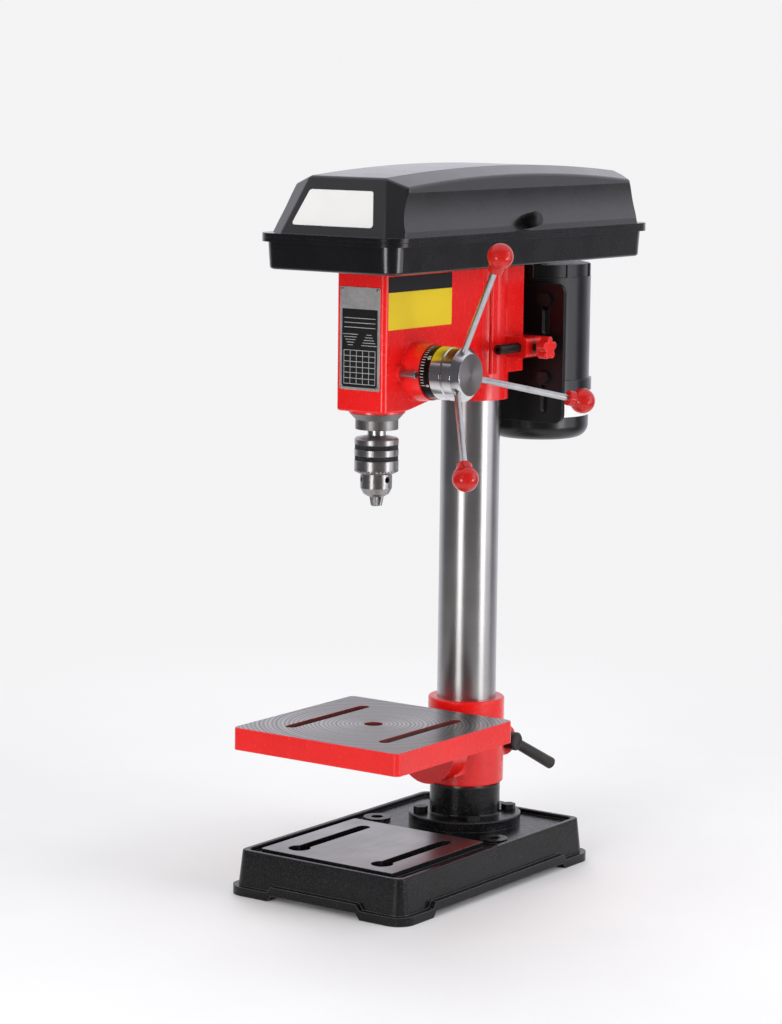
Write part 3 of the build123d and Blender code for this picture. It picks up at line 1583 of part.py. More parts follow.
def wall_edges(form):
    """Edges of the lid's walls above its foot, each of them once."""
    found = {}
    for face in form.faces():
        if face.bounding_box().min.Z < lid_foot + pick_band:
            for edge in face.edges():
                spot = edge.center()
                if spot.Z > lid_foot + lid_lip:
                    found[(round(spot.X), round(spot.Y), round(spot.Z))] = edge
    return list(found.values())


def scoop_section(side, foot_y, top_y):
    """Hollow of a side panel, drawn on a plane that leans with the panel's end."""
    run = Vector(0, top_y - foot_y, lid_height)
    plane = Plane((0, foot_y, lid_foot), x_dir=(1, 0, 0), z_dir=Vector(1, 0, 0).cross(run))
    low = scoop_low / lid_height
    high = scoop_high / lid_height
    middle = (low + high) / 2
    low_x = lid_side - low * lid_side_lean
    high_x = lid_side - high * lid_side_lean
    middle_x = lid_side - middle * lid_side_lean - scoop_depth
    with BuildSketch(plane) as section:
        with BuildLine():
            ThreePointArc(
                (side * low_x, low * run.length),
                (side * middle_x, middle * run.length),
                (side * high_x, high * run.length),
            )
            Polyline(
                (side * high_x, high * run.length),
                (side * (high_x + lid_wall), high * run.length),
                (side * (low_x + lid_wall), low * run.length),
                (side * low_x, low * run.length),
            )
        make_face()
    return section.sketch


knob_share = lid_knob_rise / lid_height
knob_y = column_y - lid_knob_set
panel_plane = Plane(
    (lid_side - knob_share * lid_side_lean, knob_y, lid_foot + lid_knob_rise),
    z_dir=(lid_height, 0, lid_side_lean),
)

lid_body = lid_form(0)
lid_hollow = lid_form(lid_wall)

with BuildPart() as lid:
    add(lid_body)
    fillet(wall_edges(lid), lid_edge)
    add(lid_hollow, mode=Mode.SUBTRACT)
    with BuildSketch(level(0, 0, lid_foot)):
        with Locations((0, tray_y)):
            RectangleRounded(rim_width, rim_length, tray_corner + tray_flare + rim_reach)
        Polygon(*lid_outline(lid_lip / lid_height), align=None, mode=Mode.SUBTRACT)
    extrude(amount=lid_lip)
    for side in (1, -1):
        front_end = scoop_section(side, foot_corners[1][1] - scoop_end, top_corners[1][1] - scoop_end)
        back_end = scoop_section(side, foot_corners[2][1] + scoop_end, top_corners[2][1] + scoop_end)
        loft([front_end, back_end], ruled=True, mode=Mode.SUBTRACT)
    cylinder(panel_plane, lid_knob_diameter / 2, -lid_wall)
    drill(panel_plane, lid_knob_stem / 2 + running_fit, -2 * lid_wall)
    for spot in hinge_spots:
        knuckle(spot + hinge_leaf / 2, hinge_leaf, lid_foot, lid_lip)
lid.part.label = "lid"
export_step(lid.part, "parts/lid.step")

with BuildPart() as lid_knob:
    cylinder(panel_plane, lid_knob_diameter / 2, lid_knob_length)
    fillet(lid_knob.edges().sort_by(Axis.X)[-1], lid_knob_edge)
    cylinder(panel_plane, lid_knob_stem / 2, -2 * lid_wall)
lid_knob.part.label = "lid_knob"
export_step(lid_knob.part, "parts/lid_knob.step")

# Drill chuck: body on the spindle's taper, sleeve with its nut, and three jaws
sleeve_top = chuck_top - chuck_crown
sleeve_foot = sleeve_top - chuck_sleeve_length
body_foot = sleeve_foot - face_gap - chuck_body_length
chuck_foot = body_foot - chuck_nose_length
core_top = sleeve_foot + chuck_core_height
nut_foot = sleeve_foot + chuck_nut_rise
nut_top = nut_foot + chuck_nut_height
jaw_tip_z = chuck_foot - jaw_overhang
jaw_angles = [jaw_start + i * 360 / jaw_count for i in range(jaw_count)]


def jaw_plane(angle, distance):
    """Plane square to one jaw, at a distance up its axis from the tip."""
    lean = radians(jaw_lean)
    turn = radians(angle)
    direction = Vector(sin(lean) * cos(turn), sin(lean) * sin(turn), cos(lean))
    tip = Vector(jaw_tip_offset * cos(turn), spindle_y + jaw_tip_offset * sin(turn), jaw_tip_z)
    return Plane(tip + direction * distance, z_dir=direction)


with BuildPart() as chuck_body:
    turned(
        facing(spindle_y),
        upright(spindle_y),
        (0, chuck_foot),
        (chuck_nose_diameter / 2, chuck_foot),
        (chuck_nose_middle / 2, chuck_foot + chuck_nose_bend),
        (chuck_body_diameter / 2, body_foot),
        (chuck_body_diameter / 2, sleeve_foot - face_gap),
        (chuck_core / 2, sleeve_foot - face_gap),
        (chuck_core / 2, nut_foot - face_gap),
        (chuck_nut_seat / 2, nut_foot - face_gap),
        (chuck_nut_seat / 2, nut_top + face_gap),
        (chuck_core / 2, nut_top + face_gap),
        (chuck_core / 2, core_top + face_gap),
        (chuck_cap / 2, core_top + face_gap),
        (chuck_cap / 2, sleeve_top),
        (chuck_crown_diameter / 2, chuck_top),
        (0, chuck_top),
    )
    turned(
        facing(spindle_y),
        upright(spindle_y),
        (0, taper_foot - face_gap),
        (taper_small / 2 + running_fit, taper_foot - face_gap),
        (taper_top / 2 + running_fit, chuck_top),
        (0, chuck_top),
        mode=Mode.SUBTRACT,
    )
    drill(level(0, spindle_y, chuck_foot), chuck_bore / 2, chuck_bore_depth)
    for angle in jaw_angles:
        drill(jaw_plane(angle, 0), jaw_diameter / 2 + running_fit, jaw_length + jaw_travel + face_gap)
    for angle in jaw_angles:
        turn = radians(angle + 180)
        key_plane = Plane((0, spindle_y, chuck_foot + chuck_key_rise), z_dir=(cos(turn), sin(turn), 0))
        drill(key_plane, chuck_key_hole / 2, chuck_body_diameter)
chuck_body.part.label = "chuck_body"
export_step(chuck_body.part, "parts/chuck_body.step")

groove_feet = [sleeve_top - chuck_groove_drop - i * chuck_groove_pitch for i in range(2)]

with BuildPart() as chuck_sleeve:
    turned(
        facing(spindle_y),
        upright(spindle_y),
        (chuck_core / 2 + running_fit, sleeve_foot),
        (chuck_diameter / 2 - chuck_bevel, sleeve_foot),
        (chuck_diameter / 2, sleeve_foot + chuck_bevel_height),
        (chuck_diameter / 2, sleeve_top - chuck_edge),
        (chuck_diameter / 2 - chuck_edge, sleeve_top),
        (chuck_cap / 2 + running_fit, sleeve_top),
        (chuck_cap / 2 + running_fit, core_top),
        (chuck_core / 2 + running_fit, core_top),
    )
    for foot in groove_feet:
        with BuildSketch(level(0, spindle_y, foot)):
            Circle(chuck_diameter / 2)
            Circle(chuck_diameter / 2 - chuck_groove_depth, mode=Mode.SUBTRACT)
        extrude(amount=chuck_groove_width, mode=Mode.SUBTRACT)
    with BuildSketch(level(0, spindle_y, sleeve_foot)):
        with PolarLocations(chuck_diameter / 2, chuck_teeth):
            Circle(chuck_tooth_width / 2)
    extrude(amount=chuck_tooth_depth, mode=Mode.SUBTRACT)
chuck_sleeve.part.label = "chuck_sleeve"
export_step(chuck_sleeve.part, "parts/chuck_sleeve.step")


def jaw_reach(z):
    """Outside of the jaws at a height, from the chuck's axis."""
    lean = radians(jaw_lean)
    return jaw_tip_offset + (z - jaw_tip_z) * tan(lean) + jaw_diameter / 2 / cos(lean)


with BuildPart() as chuck_nut:
    turned(
        facing(spindle_y),
        upright(spindle_y),
        (jaw_reach(nut_foot) + chuck_nut_gap, nut_foot),
        (chuck_core / 2, nut_foot),
        (chuck_core / 2, nut_top),
        (jaw_reach(nut_top) + chuck_nut_gap, nut_top),
    )
chuck_nut.part.label = "chuck_nut"
export_step(chuck_nut.part, "parts/chuck_nut.step")

sector_reach = chuck_diameter


def jaw_sector(angle):
    """Corners of the third of the chuck that one jaw may fill, clear of its neighbours."""
    turn = radians(angle)
    half = pi / jaw_count
    apex = Vector(cos(turn), sin(turn)) * (jaw_gap / 2 / sin(half))
    rays = [Vector(cos(edge), sin(edge)) for edge in (turn - half, turn, turn + half)]
    corners = [apex] + [apex + ray * sector_reach for ray in rays]
    return [(corner.X, corner.Y) for corner in corners]


for i in range(jaw_count):
    with BuildPart() as chuck_jaw:
        cylinder(jaw_plane(jaw_angles[i], -jaw_diameter), jaw_diameter / 2, jaw_length + jaw_diameter)
        with BuildSketch(level(0, spindle_y, jaw_tip_z)):
            Polygon(*jaw_sector(jaw_angles[i]), align=None)
        extrude(amount=2 * jaw_length, mode=Mode.INTERSECT)
    chuck_jaw.part.label = f"chuck_jaw_{i + 1}"
    export_step(chuck_jaw.part, f"parts/chuck_jaw_{i + 1}.step")

# Switch on the left of the head
switch_y = spindle_y + switch_set
switch_z = nose_bottom + switch_rise
switch_face = -nose_side - switch_depth
switch_inside = switch_face + switch_wall
start_spot = (switch_y + button_spacing / 2, switch_z)
stop_spot = (switch_y - button_spacing / 2, switch_z)
gland_x = -nose_side - switch_depth / 2
gland_y = switch_y - switch_width / 2 + gland_set
switch_foot = switch_z - switch_height / 2

with BuildPart() as switch_box:
    with BuildSketch(across(-nose_side)):
        with Locations((switch_y, switch_z)):
            RectangleRounded(switch_width, switch_height, switch_corner)
    extrude(amount=-switch_depth)
    fillet(switch_box.edges().group_by(Axis.X)[0], switch_wall)
    with BuildSketch(across(-nose_side)):
        with Locations((switch_y, switch_z)):
            RectangleRounded(
                switch_width - 2 * switch_wall,
                switch_height - 2 * switch_wall,
                switch_corner - switch_wall,
            )
    extrude(amount=switch_inside + nose_side, mode=Mode.SUBTRACT)
    with BuildSketch(across(switch_face)):
        with Locations(start_spot, stop_spot):
            Circle(button_diameter / 2 + running_fit)
    extrude(amount=switch_wall, mode=Mode.SUBTRACT)
    drill(level(gland_x, gland_y, switch_foot), gland_thread / 2 + running_fit, switch_wall)
switch_box.part.label = "switch_box"
export_step(switch_box.part, "parts/switch_box.step")


def push_button(spot):
    """Adds a button that stands out of the switch box, with a flange that holds it in."""
    with BuildSketch(across(switch_face - button_height)) as cap:
        with Locations(spot):
            Circle(button_diameter / 2)
    extrude(cap.sketch, amount=button_height + switch_wall + button_stem)
    with BuildSketch(across(switch_inside + face_gap)) as flange:
        with Locations(spot):
            Circle(button_diameter / 2 + button_flange)
    extrude(flange.sketch, amount=button_flange)


with BuildPart() as start_button:
    push_button(start_spot)
    chamfer(start_button.edges().group_by(Axis.X)[0], button_edge)
start_button.part.label = "start_button"
export_step(start_button.part, "parts/start_button.step")

with BuildPart() as stop_button:
    push_button(stop_spot)
    chamfer(stop_button.edges().group_by(Axis.X)[0], button_edge)
stop_button.part.label = "stop_button"
export_step(stop_button.part, "parts/stop_button.step")

with BuildPart() as cable_gland:
    with BuildSketch(level(gland_x, gland_y, switch_foot)):
        RegularPolygon(gland_flats / 2, 6, major_radius=False)
    extrude(amount=-gland_length)
    chamfer(cable_gland.edges().group_by(Axis.Z)[0], button_edge)
    cylinder(level(gland_x, gland_y, switch_foot), gland_thread / 2, 2 * switch_wall)
    drill(level(gland_x, gland_y, switch_foot - gland_length), gland_bore / 2, gland_length + 2 * switch_wall)
cable_gland.part.label = "cable_gland"
export_step(cable_gland.part, "parts/cable_gland.step")
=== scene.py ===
import json
from math import cos, pi, radians, sin, tan

import bmesh
import bpy
from mathutils import Matrix, Vector


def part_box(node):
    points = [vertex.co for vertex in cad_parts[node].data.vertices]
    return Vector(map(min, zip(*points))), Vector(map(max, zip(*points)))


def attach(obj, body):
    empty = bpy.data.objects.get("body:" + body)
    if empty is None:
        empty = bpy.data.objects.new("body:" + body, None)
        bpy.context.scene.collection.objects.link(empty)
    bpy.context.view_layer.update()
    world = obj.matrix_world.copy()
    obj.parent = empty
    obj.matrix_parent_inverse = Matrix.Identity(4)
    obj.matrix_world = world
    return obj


# The bench drill's looks: a finish for every piece, bare plates and labels, and the marks on the dial.
# Lengths are in metres, in the frame of the solids. -Y is the front and +Z is up.

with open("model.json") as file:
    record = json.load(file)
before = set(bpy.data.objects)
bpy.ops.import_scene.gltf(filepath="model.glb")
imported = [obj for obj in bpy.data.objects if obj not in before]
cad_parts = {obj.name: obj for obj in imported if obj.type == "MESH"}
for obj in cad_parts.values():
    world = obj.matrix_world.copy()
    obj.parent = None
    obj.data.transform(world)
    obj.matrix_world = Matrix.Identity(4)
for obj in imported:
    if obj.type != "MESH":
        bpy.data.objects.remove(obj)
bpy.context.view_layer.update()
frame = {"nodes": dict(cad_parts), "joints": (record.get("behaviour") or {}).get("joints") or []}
nodes = frame["nodes"]
joints = {joint["name"]: joint for joint in frame["joints"]}
mm = 0.001

# Axes that turned pieces share
feed_axis = Vector(joints["feed_turn"]["pos_m"])
spindle_axis = Vector(joints["spindle_spin"]["pos_m"])
motor_axis = Vector(joints["motor_spin"]["pos_m"])
column_axis = (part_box("column")[0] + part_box("column")[1]) / 2
along_x = Vector((1, 0, 0))
along_z = Vector((0, 0, 1))

# Levels of the machined faces
table_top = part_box("table")[1].z
pad_top = 45.5 * mm
face_margin = 0.3 * mm

# Colours, linear
red_deep = (0.62, 0.006, 0.005, 1)
red_bright = (0.70, 0.009, 0.008, 1)
# Colour of worn red edges, which is also a painted highlight along them
red_wear_and_highlight = (0.76, 0.05, 0.045, 1)
black_deep = (0.0032, 0.0032, 0.0036, 1)
black_grey = (0.0066, 0.0066, 0.0074, 1)
# Colour of worn black edges, which is also a painted highlight along them and the colour of painted glints in
# specks
black_wear_and_highlight = (0.135, 0.135, 0.142, 1)
cover_deep = (0.0030, 0.0030, 0.0034, 1)
cover_grey = (0.0050, 0.0050, 0.0056, 1)
table_iron = (0.09, 0.085, 0.082, 1), (0.40, 0.381, 0.369, 1)
pad_iron = (0.27, 0.265, 0.26, 1), (0.44, 0.43, 0.425, 1)
steel_dark = (0.34, 0.33, 0.325, 1)
steel_bright = (0.52, 0.51, 0.505, 1)
column_dark = (0.40, 0.39, 0.385, 1)
column_bright = (0.50, 0.49, 0.485, 1)
quill_dark = (0.22, 0.213, 0.206, 1)
quill_bright = (0.34, 0.332, 0.325, 1)
knurl_bright = (0.10, 0.097, 0.095, 1)
chuck_dark = (0.27, 0.262, 0.256, 1)
chuck_bright = (0.46, 0.447, 0.44, 1)
rod_dark = (0.50, 0.50, 0.51, 1)
rod_bright = (0.66, 0.66, 0.67, 1)
chrome_dark = (0.62, 0.62, 0.63, 1)
chrome_bright = (0.80, 0.80, 0.81, 1)
hub_end = (0.30, 0.285, 0.28, 1)
oxide_dark = (0.012, 0.011, 0.011, 1)
oxide_bright = (0.035, 0.033, 0.031, 1)
alloy_dark = (0.42, 0.42, 0.43, 1)
alloy_bright = (0.62, 0.62, 0.63, 1)
rubber_dark = (0.008, 0.008, 0.008, 1)
rubber_grey = (0.022, 0.021, 0.020, 1)
knob_deep = (0.39, 0.008, 0.006, 1)
knob_bright = (0.46, 0.012, 0.009, 1)
star_deep = (0.56, 0.012, 0.010, 1)
star_bright = (0.64, 0.018, 0.014, 1)
lever_dark = (0.022, 0.019, 0.018, 1)
lever_bright = (0.052, 0.046, 0.043, 1)
# Dark red of the walls in the table's slots and bore: painted shade
slot_shade_dark = (0.055, 0.014, 0.012, 1)
slot_shade_bright = (0.12, 0.020, 0.017, 1)
print_grey = (0.42, 0.42, 0.42, 1)
print_bright = (0.55, 0.55, 0.55, 1)
green_deep = (0.006, 0.16, 0.03, 1)
green_bright = (0.01, 0.24, 0.05, 1)
yellow_deep = (0.60, 0.43, 0.006, 1)
yellow_bright = (0.69, 0.50, 0.012, 1)
white_deep = (0.70, 0.69, 0.67, 1)
white_bright = (0.80, 0.79, 0.78, 1)
copper = (0.45, 0.16, 0.06, 1)

# Spans of a noise that are stretched to a full range, and its roughness
noise_most = (0.3, 0.7)
noise_middle = (0.32, 0.68)
noise_upper = (0.3, 0.75)
# Span of the noise for the painted glints in the black paint's specks
glint_span = (0.52, 0.74)
varnish_span = (0.45, 0.65)
sheet_span = (0.35, 0.65)
mottle_span = (0.2, 0.8)
noise_roughness = 0.55
line_roughness = 0.7

# Shares of the second noise where two are mixed
fine_share = 0.5
ground_share = 0.6
turned_share = 0.4
plain_share = 0.5

# Depths of fine relief
turned_depth = 0.004 * mm
wave_depth = 0.4 * mm
peel_depth = 0.04 * mm
weave_depth = 0.05 * mm
sheet_depth = 0.05 * mm
print_depth = 0.004 * mm

# Edges that shaders round, and lighten as wear and as a painted highlight. A turn is in cosines between the
# rounded face and the flat one
edge_radius = 0.6 * mm
edge_samples = 4
edge_turn = (0.995, 0.85)
edge_polish = 2.2

# Cosines past which a face counts as one that looks up, or as the end of a turned piece
looks_up = 0.9
looks_along = 0.95

# Machined faces of the castings, painted shade on the walls of the table's slots, and ends of turned pieces
stripe_span = (0.36, 0.64)
stripe_rough = (0.40, 0.30)
stripe_depth = 0.03 * mm
ring_pitch = 4.2 * mm
ring_span = (0.34, 0.66)
ring_share = 0.6
grinding_stretch = (1400, 30, 30)
wall_rough = 0.6
end_rough = 0.34

# Belt and motor core
weave_stretch = (1400, 1400, 500)
belt_rough = (0.62, 0.82)
core_rough = (0.4, 0.6)
varnish_share = 0.6


class Graph:
    """A tree of shader nodes."""

    def __init__(self, tree):
        self.tree = tree

    def feed(self, node, inputs):
        """Sets a node's inputs by name or number, or links them where the value is another node's output."""
        for key, value in inputs.items():
            if isinstance(value, bpy.types.NodeSocket):
                self.tree.links.new(value, node.inputs[key])
            else:
                node.inputs[key].default_value = value
        return node

    def add(self, kind, inputs=None, **settings):
        node = self.tree.nodes.new(kind)
        for key, value in settings.items():
            setattr(node, key, value)
        return self.feed(node, inputs or {})

    def maths(self, operation, first, second=0.0):
        return self.add("ShaderNodeMath", {0: first, 1: second}, operation=operation).outputs[0]

    def vector(self, operation, first, second=(0, 0, 0)):
        """Vector maths, whose lengths and dot products are numbers."""
        node = self.add("ShaderNodeVectorMath", {0: first, 1: second}, operation=operation)
        return node.outputs["Value" if operation in ("LENGTH", "DOT_PRODUCT") else "Vector"]

    def ramp(self, value, start, end, low=0.0, high=1.0, kind="LINEAR"):
        """Maps a span of a value to another span, held at its ends."""
        inputs = {"Value": value, "From Min": start, "From Max": end, "To Min": low, "To Max": high}
        return self.add("ShaderNodeMapRange", inputs, interpolation_type=kind).outputs["Result"]

    def blend(self, factor, first, second):
        """Mixes two colours. The names of a Mix node's inputs repeat, so they are given by number."""
        node = self.add("ShaderNodeMix", {0: factor, 6: first, 7: second}, data_type="RGBA")
        return node.outputs[2]

    def between(self, factor, first, second):
        """Mixes two numbers, in the same way."""
        return self.add("ShaderNodeMix", {0: factor, 2: first, 3: second}, data_type="FLOAT").outputs[0]

    def axes(self, vector):
        return self.add("ShaderNodeSeparateXYZ", {0: vector}).outputs


class Finish(Graph):
    """A material with one Principled shader, textured in the object's own coordinates."""

    def __init__(self, name, sockets=None):
        self.material = bpy.data.materials.new(name)
        self.material.use_nodes = True
        super().__init__(self.material.node_tree)
        self.shader = self.tree.nodes["Principled BSDF"]
        source = self.add("ShaderNodeTexCoord").outputs
        self.point = source["Object"]
        self.facing = source["Normal"]
        self.feed(self.shader, sockets or {})

    def noise(self, scale, detail, point=None):
        inputs = {"Vector": point or self.point, "Scale": scale, "Detail": detail, "Roughness": noise_roughness}
        return self.add("ShaderNodeTexNoise", inputs).outputs["Fac"]

    def lines(self, value, scale, detail):
        """Noise that changes along one value alone, which gives fine parallel lines."""
        inputs = {"W": value, "Scale": scale, "Detail": detail, "Roughness": line_roughness}
        return self.add("ShaderNodeTexNoise", inputs, noise_dimensions="1D").outputs["Fac"]

    def level_face(self, height):
        """1 on faces that look up at a height or above it, in the object's own frame, and 0 elsewhere."""
        up = self.maths("GREATER_THAN", self.axes(self.facing)["Z"], looks_up)
        high = self.maths("GREATER_THAN", self.axes(self.point)["Z"], height - face_margin)
        return self.maths("MULTIPLY", up, high)

    def box_mask(self, low, high):
        """1 inside a box given by two corners, and 0 outside it."""
        total = 1.0
        for axis, start, end in zip("XYZ", low, high):
            value = self.axes(self.point)[axis]
            total = self.maths("MULTIPLY", self.maths("GREATER_THAN", value, start), total)
            total = self.maths("MULTIPLY", self.maths("LESS_THAN", value, end), total)
        return total

    def turned_point(self, centre, along):
        """Coordinates of a turned piece: distance from its axis, and place along the axis."""
        offset = self.vector("SUBTRACT", self.point, centre)
        spoke = self.vector("MULTIPLY", offset, Vector((1, 1, 1)) - along)
        radius = self.vector("LENGTH", spoke)
        height = self.vector("DOT_PRODUCT", offset, along)
        return self.add("ShaderNodeCombineXYZ", {0: radius, 1: height}).outputs[0]

    def rounded(self, radius=edge_radius):
        """Normal with its sharp edges rounded."""
        return self.add("ShaderNodeBevel", {"Radius": radius}, samples=edge_samples).outputs["Normal"]

    def worn(self, colour, bare, radius, share):
        """A colour that gives way to another one along sharp edges, by up to a share: wear, and a painted
        highlight.
        """
        flat = self.add("ShaderNodeNewGeometry").outputs["Normal"]
        match = self.vector("DOT_PRODUCT", self.rounded(radius), flat)
        edge = self.ramp(match, *edge_turn)
        return self.blend(self.ramp(edge, 0, 1, 0, share), colour, bare)

    def relief(self, *layers):
        """Sets the shader's normal from rounded edges and layers of (height, depth in metres)."""
        normal = self.rounded()
        for height, depth in layers:
            inputs = {"Height": height, "Distance": depth, "Normal": normal}
            normal = self.add("ShaderNodeBump", inputs).outputs["Normal"]
        self.feed(self.shader, {"Normal": normal})

    def uneven(self, value, rough, spread):
        """Roughness that a noise raises from its lowest value, by up to a spread."""
        return self.ramp(value, *noise_most, rough, rough + spread)

    def coat(self, colour, roughness):
        self.feed(self.shader, {"Base Color": colour, "Roughness": roughness})
        return self.material


def casting(name, sockets, dark, bright, worn, rough, skin_depth, grit_depth, painted_glints,
            top=None, marks=None, iron=None, inside=None):
    """Gloss paint over a casting's skin, lighter on the edges as wear and as a painted highlight, with painted
    glints in specks and a machined face above a level.

    Walls inside a box given as two corners, such as those of slots, get painted shade: a dark red, and a dull
    roughness.
    """
    finish = Finish(name, sockets)
    cloud = finish.noise(scale=14, detail=3)
    grit = finish.noise(scale=800, detail=2)
    skin = finish.noise(scale=170, detail=5)
    colour = finish.blend(finish.ramp(cloud, *noise_most), dark, bright)
    # Edges lighter: wear, and a painted highlight
    colour = finish.worn(colour, worn, radius=1.4 * mm, share=0.6)
    roughness = finish.uneven(skin, rough, spread=0.10)
    # Specks of painted glints, in the edges' colour
    if painted_glints:
        glints = finish.ramp(finish.noise(scale=700, detail=3), *glint_span, 0, painted_glints)
        colour = finish.blend(glints, colour, worn)
    if top is None:
        finish.relief((skin, skin_depth), (grit, grit_depth))
        return finish.coat(colour, roughness)
    # Painted shade: the walls inside the box turn dark red and dull
    if inside:
        within = finish.box_mask(*inside)
        slot_shade = finish.blend(finish.ramp(skin, *noise_most), slot_shade_dark, slot_shade_bright)
        colour = finish.blend(within, colour, slot_shade)
        roughness = finish.between(within, roughness, wall_rough)
    bare = finish.level_face(top)
    painted = finish.maths("SUBTRACT", 1.0, bare)
    stripes = marks(finish)
    metal = finish.blend(finish.ramp(stripes, *stripe_span), *iron)
    ground = finish.ramp(stripes, *noise_most, *stripe_rough)
    finish.feed(finish.shader, {"Metallic": bare})
    finish.relief(
        (finish.maths("MULTIPLY", skin, painted), skin_depth),
        (finish.maths("MULTIPLY", grit, painted), grit_depth),
        (finish.maths("MULTIPLY", stripes, bare), stripe_depth),
    )
    return finish.coat(finish.blend(bare, colour, metal), finish.between(bare, roughness, ground))


def facing_marks(finish):
    """Rings that facing the table on a lathe leaves round its bore. The gloss runs across them."""
    x, y, _ = finish.axes(finish.point)
    offset = finish.maths("SUBTRACT", y, spindle_axis.y)
    square = finish.maths("ADD", finish.maths("POWER", x, 2.0), finish.maths("POWER", offset, 2.0))
    radius = finish.maths("SQRT", square)
    spoke = finish.add("ShaderNodeCombineXYZ", {0: x, 1: offset}).outputs[0]
    finish.feed(finish.shader, {"Tangent": finish.vector("CROSS_PRODUCT", along_z, spoke)})
    turns = finish.maths("MULTIPLY", radius, 2 * pi / ring_pitch)
    even = finish.ramp(finish.maths("SINE", turns), -1, 1, *ring_span)
    wide = finish.lines(radius, scale=150, detail=2)
    fine = finish.lines(radius, scale=1100, detail=3)
    return finish.between(ring_share, finish.between(fine_share, wide, fine), even)


def ground_marks(finish):
    """Fine straight lines of a ground face, along the machine's depth."""
    fine = finish.noise(scale=1, detail=3, point=finish.vector("MULTIPLY", finish.point, grinding_stretch))
    broad = finish.noise(scale=10, detail=3)
    return finish.between(ground_share, fine, broad)


def turned_metal(name, dark, bright, centre, along, rough, grain=1500, sockets=None, round_axis=None, end=None):
    """Bare metal with the fine rings that a lathe or a grinder leaves round an axis.

    A flat end that looks along the axis may have a colour of its own, and is duller.
    """
    finish = Finish(name, {"Metallic": 1.0, **(sockets or {})})
    if round_axis:
        tangent = finish.add("ShaderNodeTangent", direction_type="RADIAL", axis=round_axis)
        finish.feed(finish.shader, {"Tangent": tangent.outputs[0]})
    rings = finish.noise(grain, detail=4, point=finish.turned_point(centre, along))
    cloud = finish.noise(scale=30, detail=4)
    tone = finish.between(turned_share, rings, cloud)
    colour = finish.blend(finish.ramp(tone, *noise_middle), dark, bright)
    roughness = finish.uneven(tone, rough, spread=0.05)
    if end:
        flat = finish.maths("GREATER_THAN", finish.vector("DOT_PRODUCT", finish.facing, along), looks_along)
        colour = finish.blend(flat, colour, end)
        roughness = finish.between(flat, roughness, end_rough)
    finish.relief((rings, turned_depth))
    return finish.coat(colour, roughness)


def plain_metal(name, dark, bright, rough, metallic=1.0, scuff_depth=0.008 * mm):
    """Bare or plated metal with light scuffs and brighter edges."""
    finish = Finish(name, {"Metallic": metallic})
    scuffs = finish.noise(scale=260, detail=5)
    cloud = finish.noise(scale=40, detail=4)
    tone = finish.between(plain_share, scuffs, cloud)
    colour = finish.blend(finish.ramp(tone, *noise_middle), dark, bright)
    polished = tuple(min(1, edge_polish * part) for part in bright[:3]) + (1,)
    colour = finish.worn(colour, polished, radius=0.4 * mm, share=0.5)
    finish.relief((scuffs, scuff_depth))
    return finish.coat(colour, finish.uneven(tone, rough, spread=0.12))


def moulded(name, dark, bright, rough, grain_depth, sockets=None):
    """Moulded plastic: a fine grain, a slight wave in its walls and dull patches from handling."""
    finish = Finish(name, sockets)
    grain = finish.noise(scale=900, detail=2)
    wave = finish.noise(scale=9, detail=2)
    dull = finish.noise(scale=24, detail=4)
    colour = finish.blend(finish.ramp(dull, *noise_upper), dark, bright)
    colour = finish.worn(colour, bright, radius=0.8 * mm, share=0.3)
    finish.relief((wave, wave_depth), (grain, grain_depth))
    return finish.coat(colour, finish.uneven(dull, rough, spread=0.07))


def sheet_paint(name, dark, bright, rough, sockets):
    """Satin paint on pressed or die-cast metal."""
    finish = Finish(name, sockets)
    peel = finish.noise(scale=380, detail=3)
    cloud = finish.noise(scale=22, detail=4)
    colour = finish.blend(finish.ramp(cloud, *noise_most), dark, bright)
    # Edges lighter: wear, and a painted highlight
    colour = finish.worn(colour, black_wear_and_highlight, radius=0.8 * mm, share=0.35)
    finish.relief((peel, peel_depth))
    return finish.coat(colour, finish.uneven(cloud, rough, spread=0.12))


def belt_rubber():
    """Rubber with the weave of its fabric jacket."""
    finish = Finish("belt_rubber", {"Specular IOR Level": 0.3})
    weave = finish.noise(scale=1, detail=2, point=finish.vector("MULTIPLY", finish.point, weave_stretch))
    dust = finish.noise(scale=60, detail=4)
    finish.relief((weave, weave_depth))
    colour = finish.blend(finish.ramp(dust, *noise_upper), rubber_dark, rubber_grey)
    return finish.coat(colour, finish.ramp(weave, *noise_most, *belt_rough))


def laminations():
    """Edges of stacked core plates, with a tint of winding varnish."""
    finish = Finish("motor_core", {"Metallic": 0.6})
    sheets = finish.lines(finish.axes(finish.point)["Z"], scale=1600, detail=2)
    varnish = finish.ramp(finish.noise(scale=45, detail=3), *varnish_span, 0, varnish_share)
    colour = finish.blend(finish.ramp(sheets, *sheet_span), steel_dark, steel_bright)
    finish.relief((sheets, sheet_depth))
    return finish.coat(finish.blend(varnish, colour, copper), finish.ramp(sheets, *noise_most, *core_rough))


def printed(name, dark, bright, rough, sockets=None):
    """Printed vinyl or ink: even colour with faint mottling and scuffs."""
    finish = Finish(name, sockets)
    mottle = finish.noise(scale=9, detail=2)
    scuffs = finish.noise(scale=600, detail=4)
    finish.relief((scuffs, print_depth))
    colour = finish.blend(finish.ramp(mottle, *mottle_span), dark, bright)
    return finish.coat(colour, finish.uneven(scuffs, rough, spread=0.15))


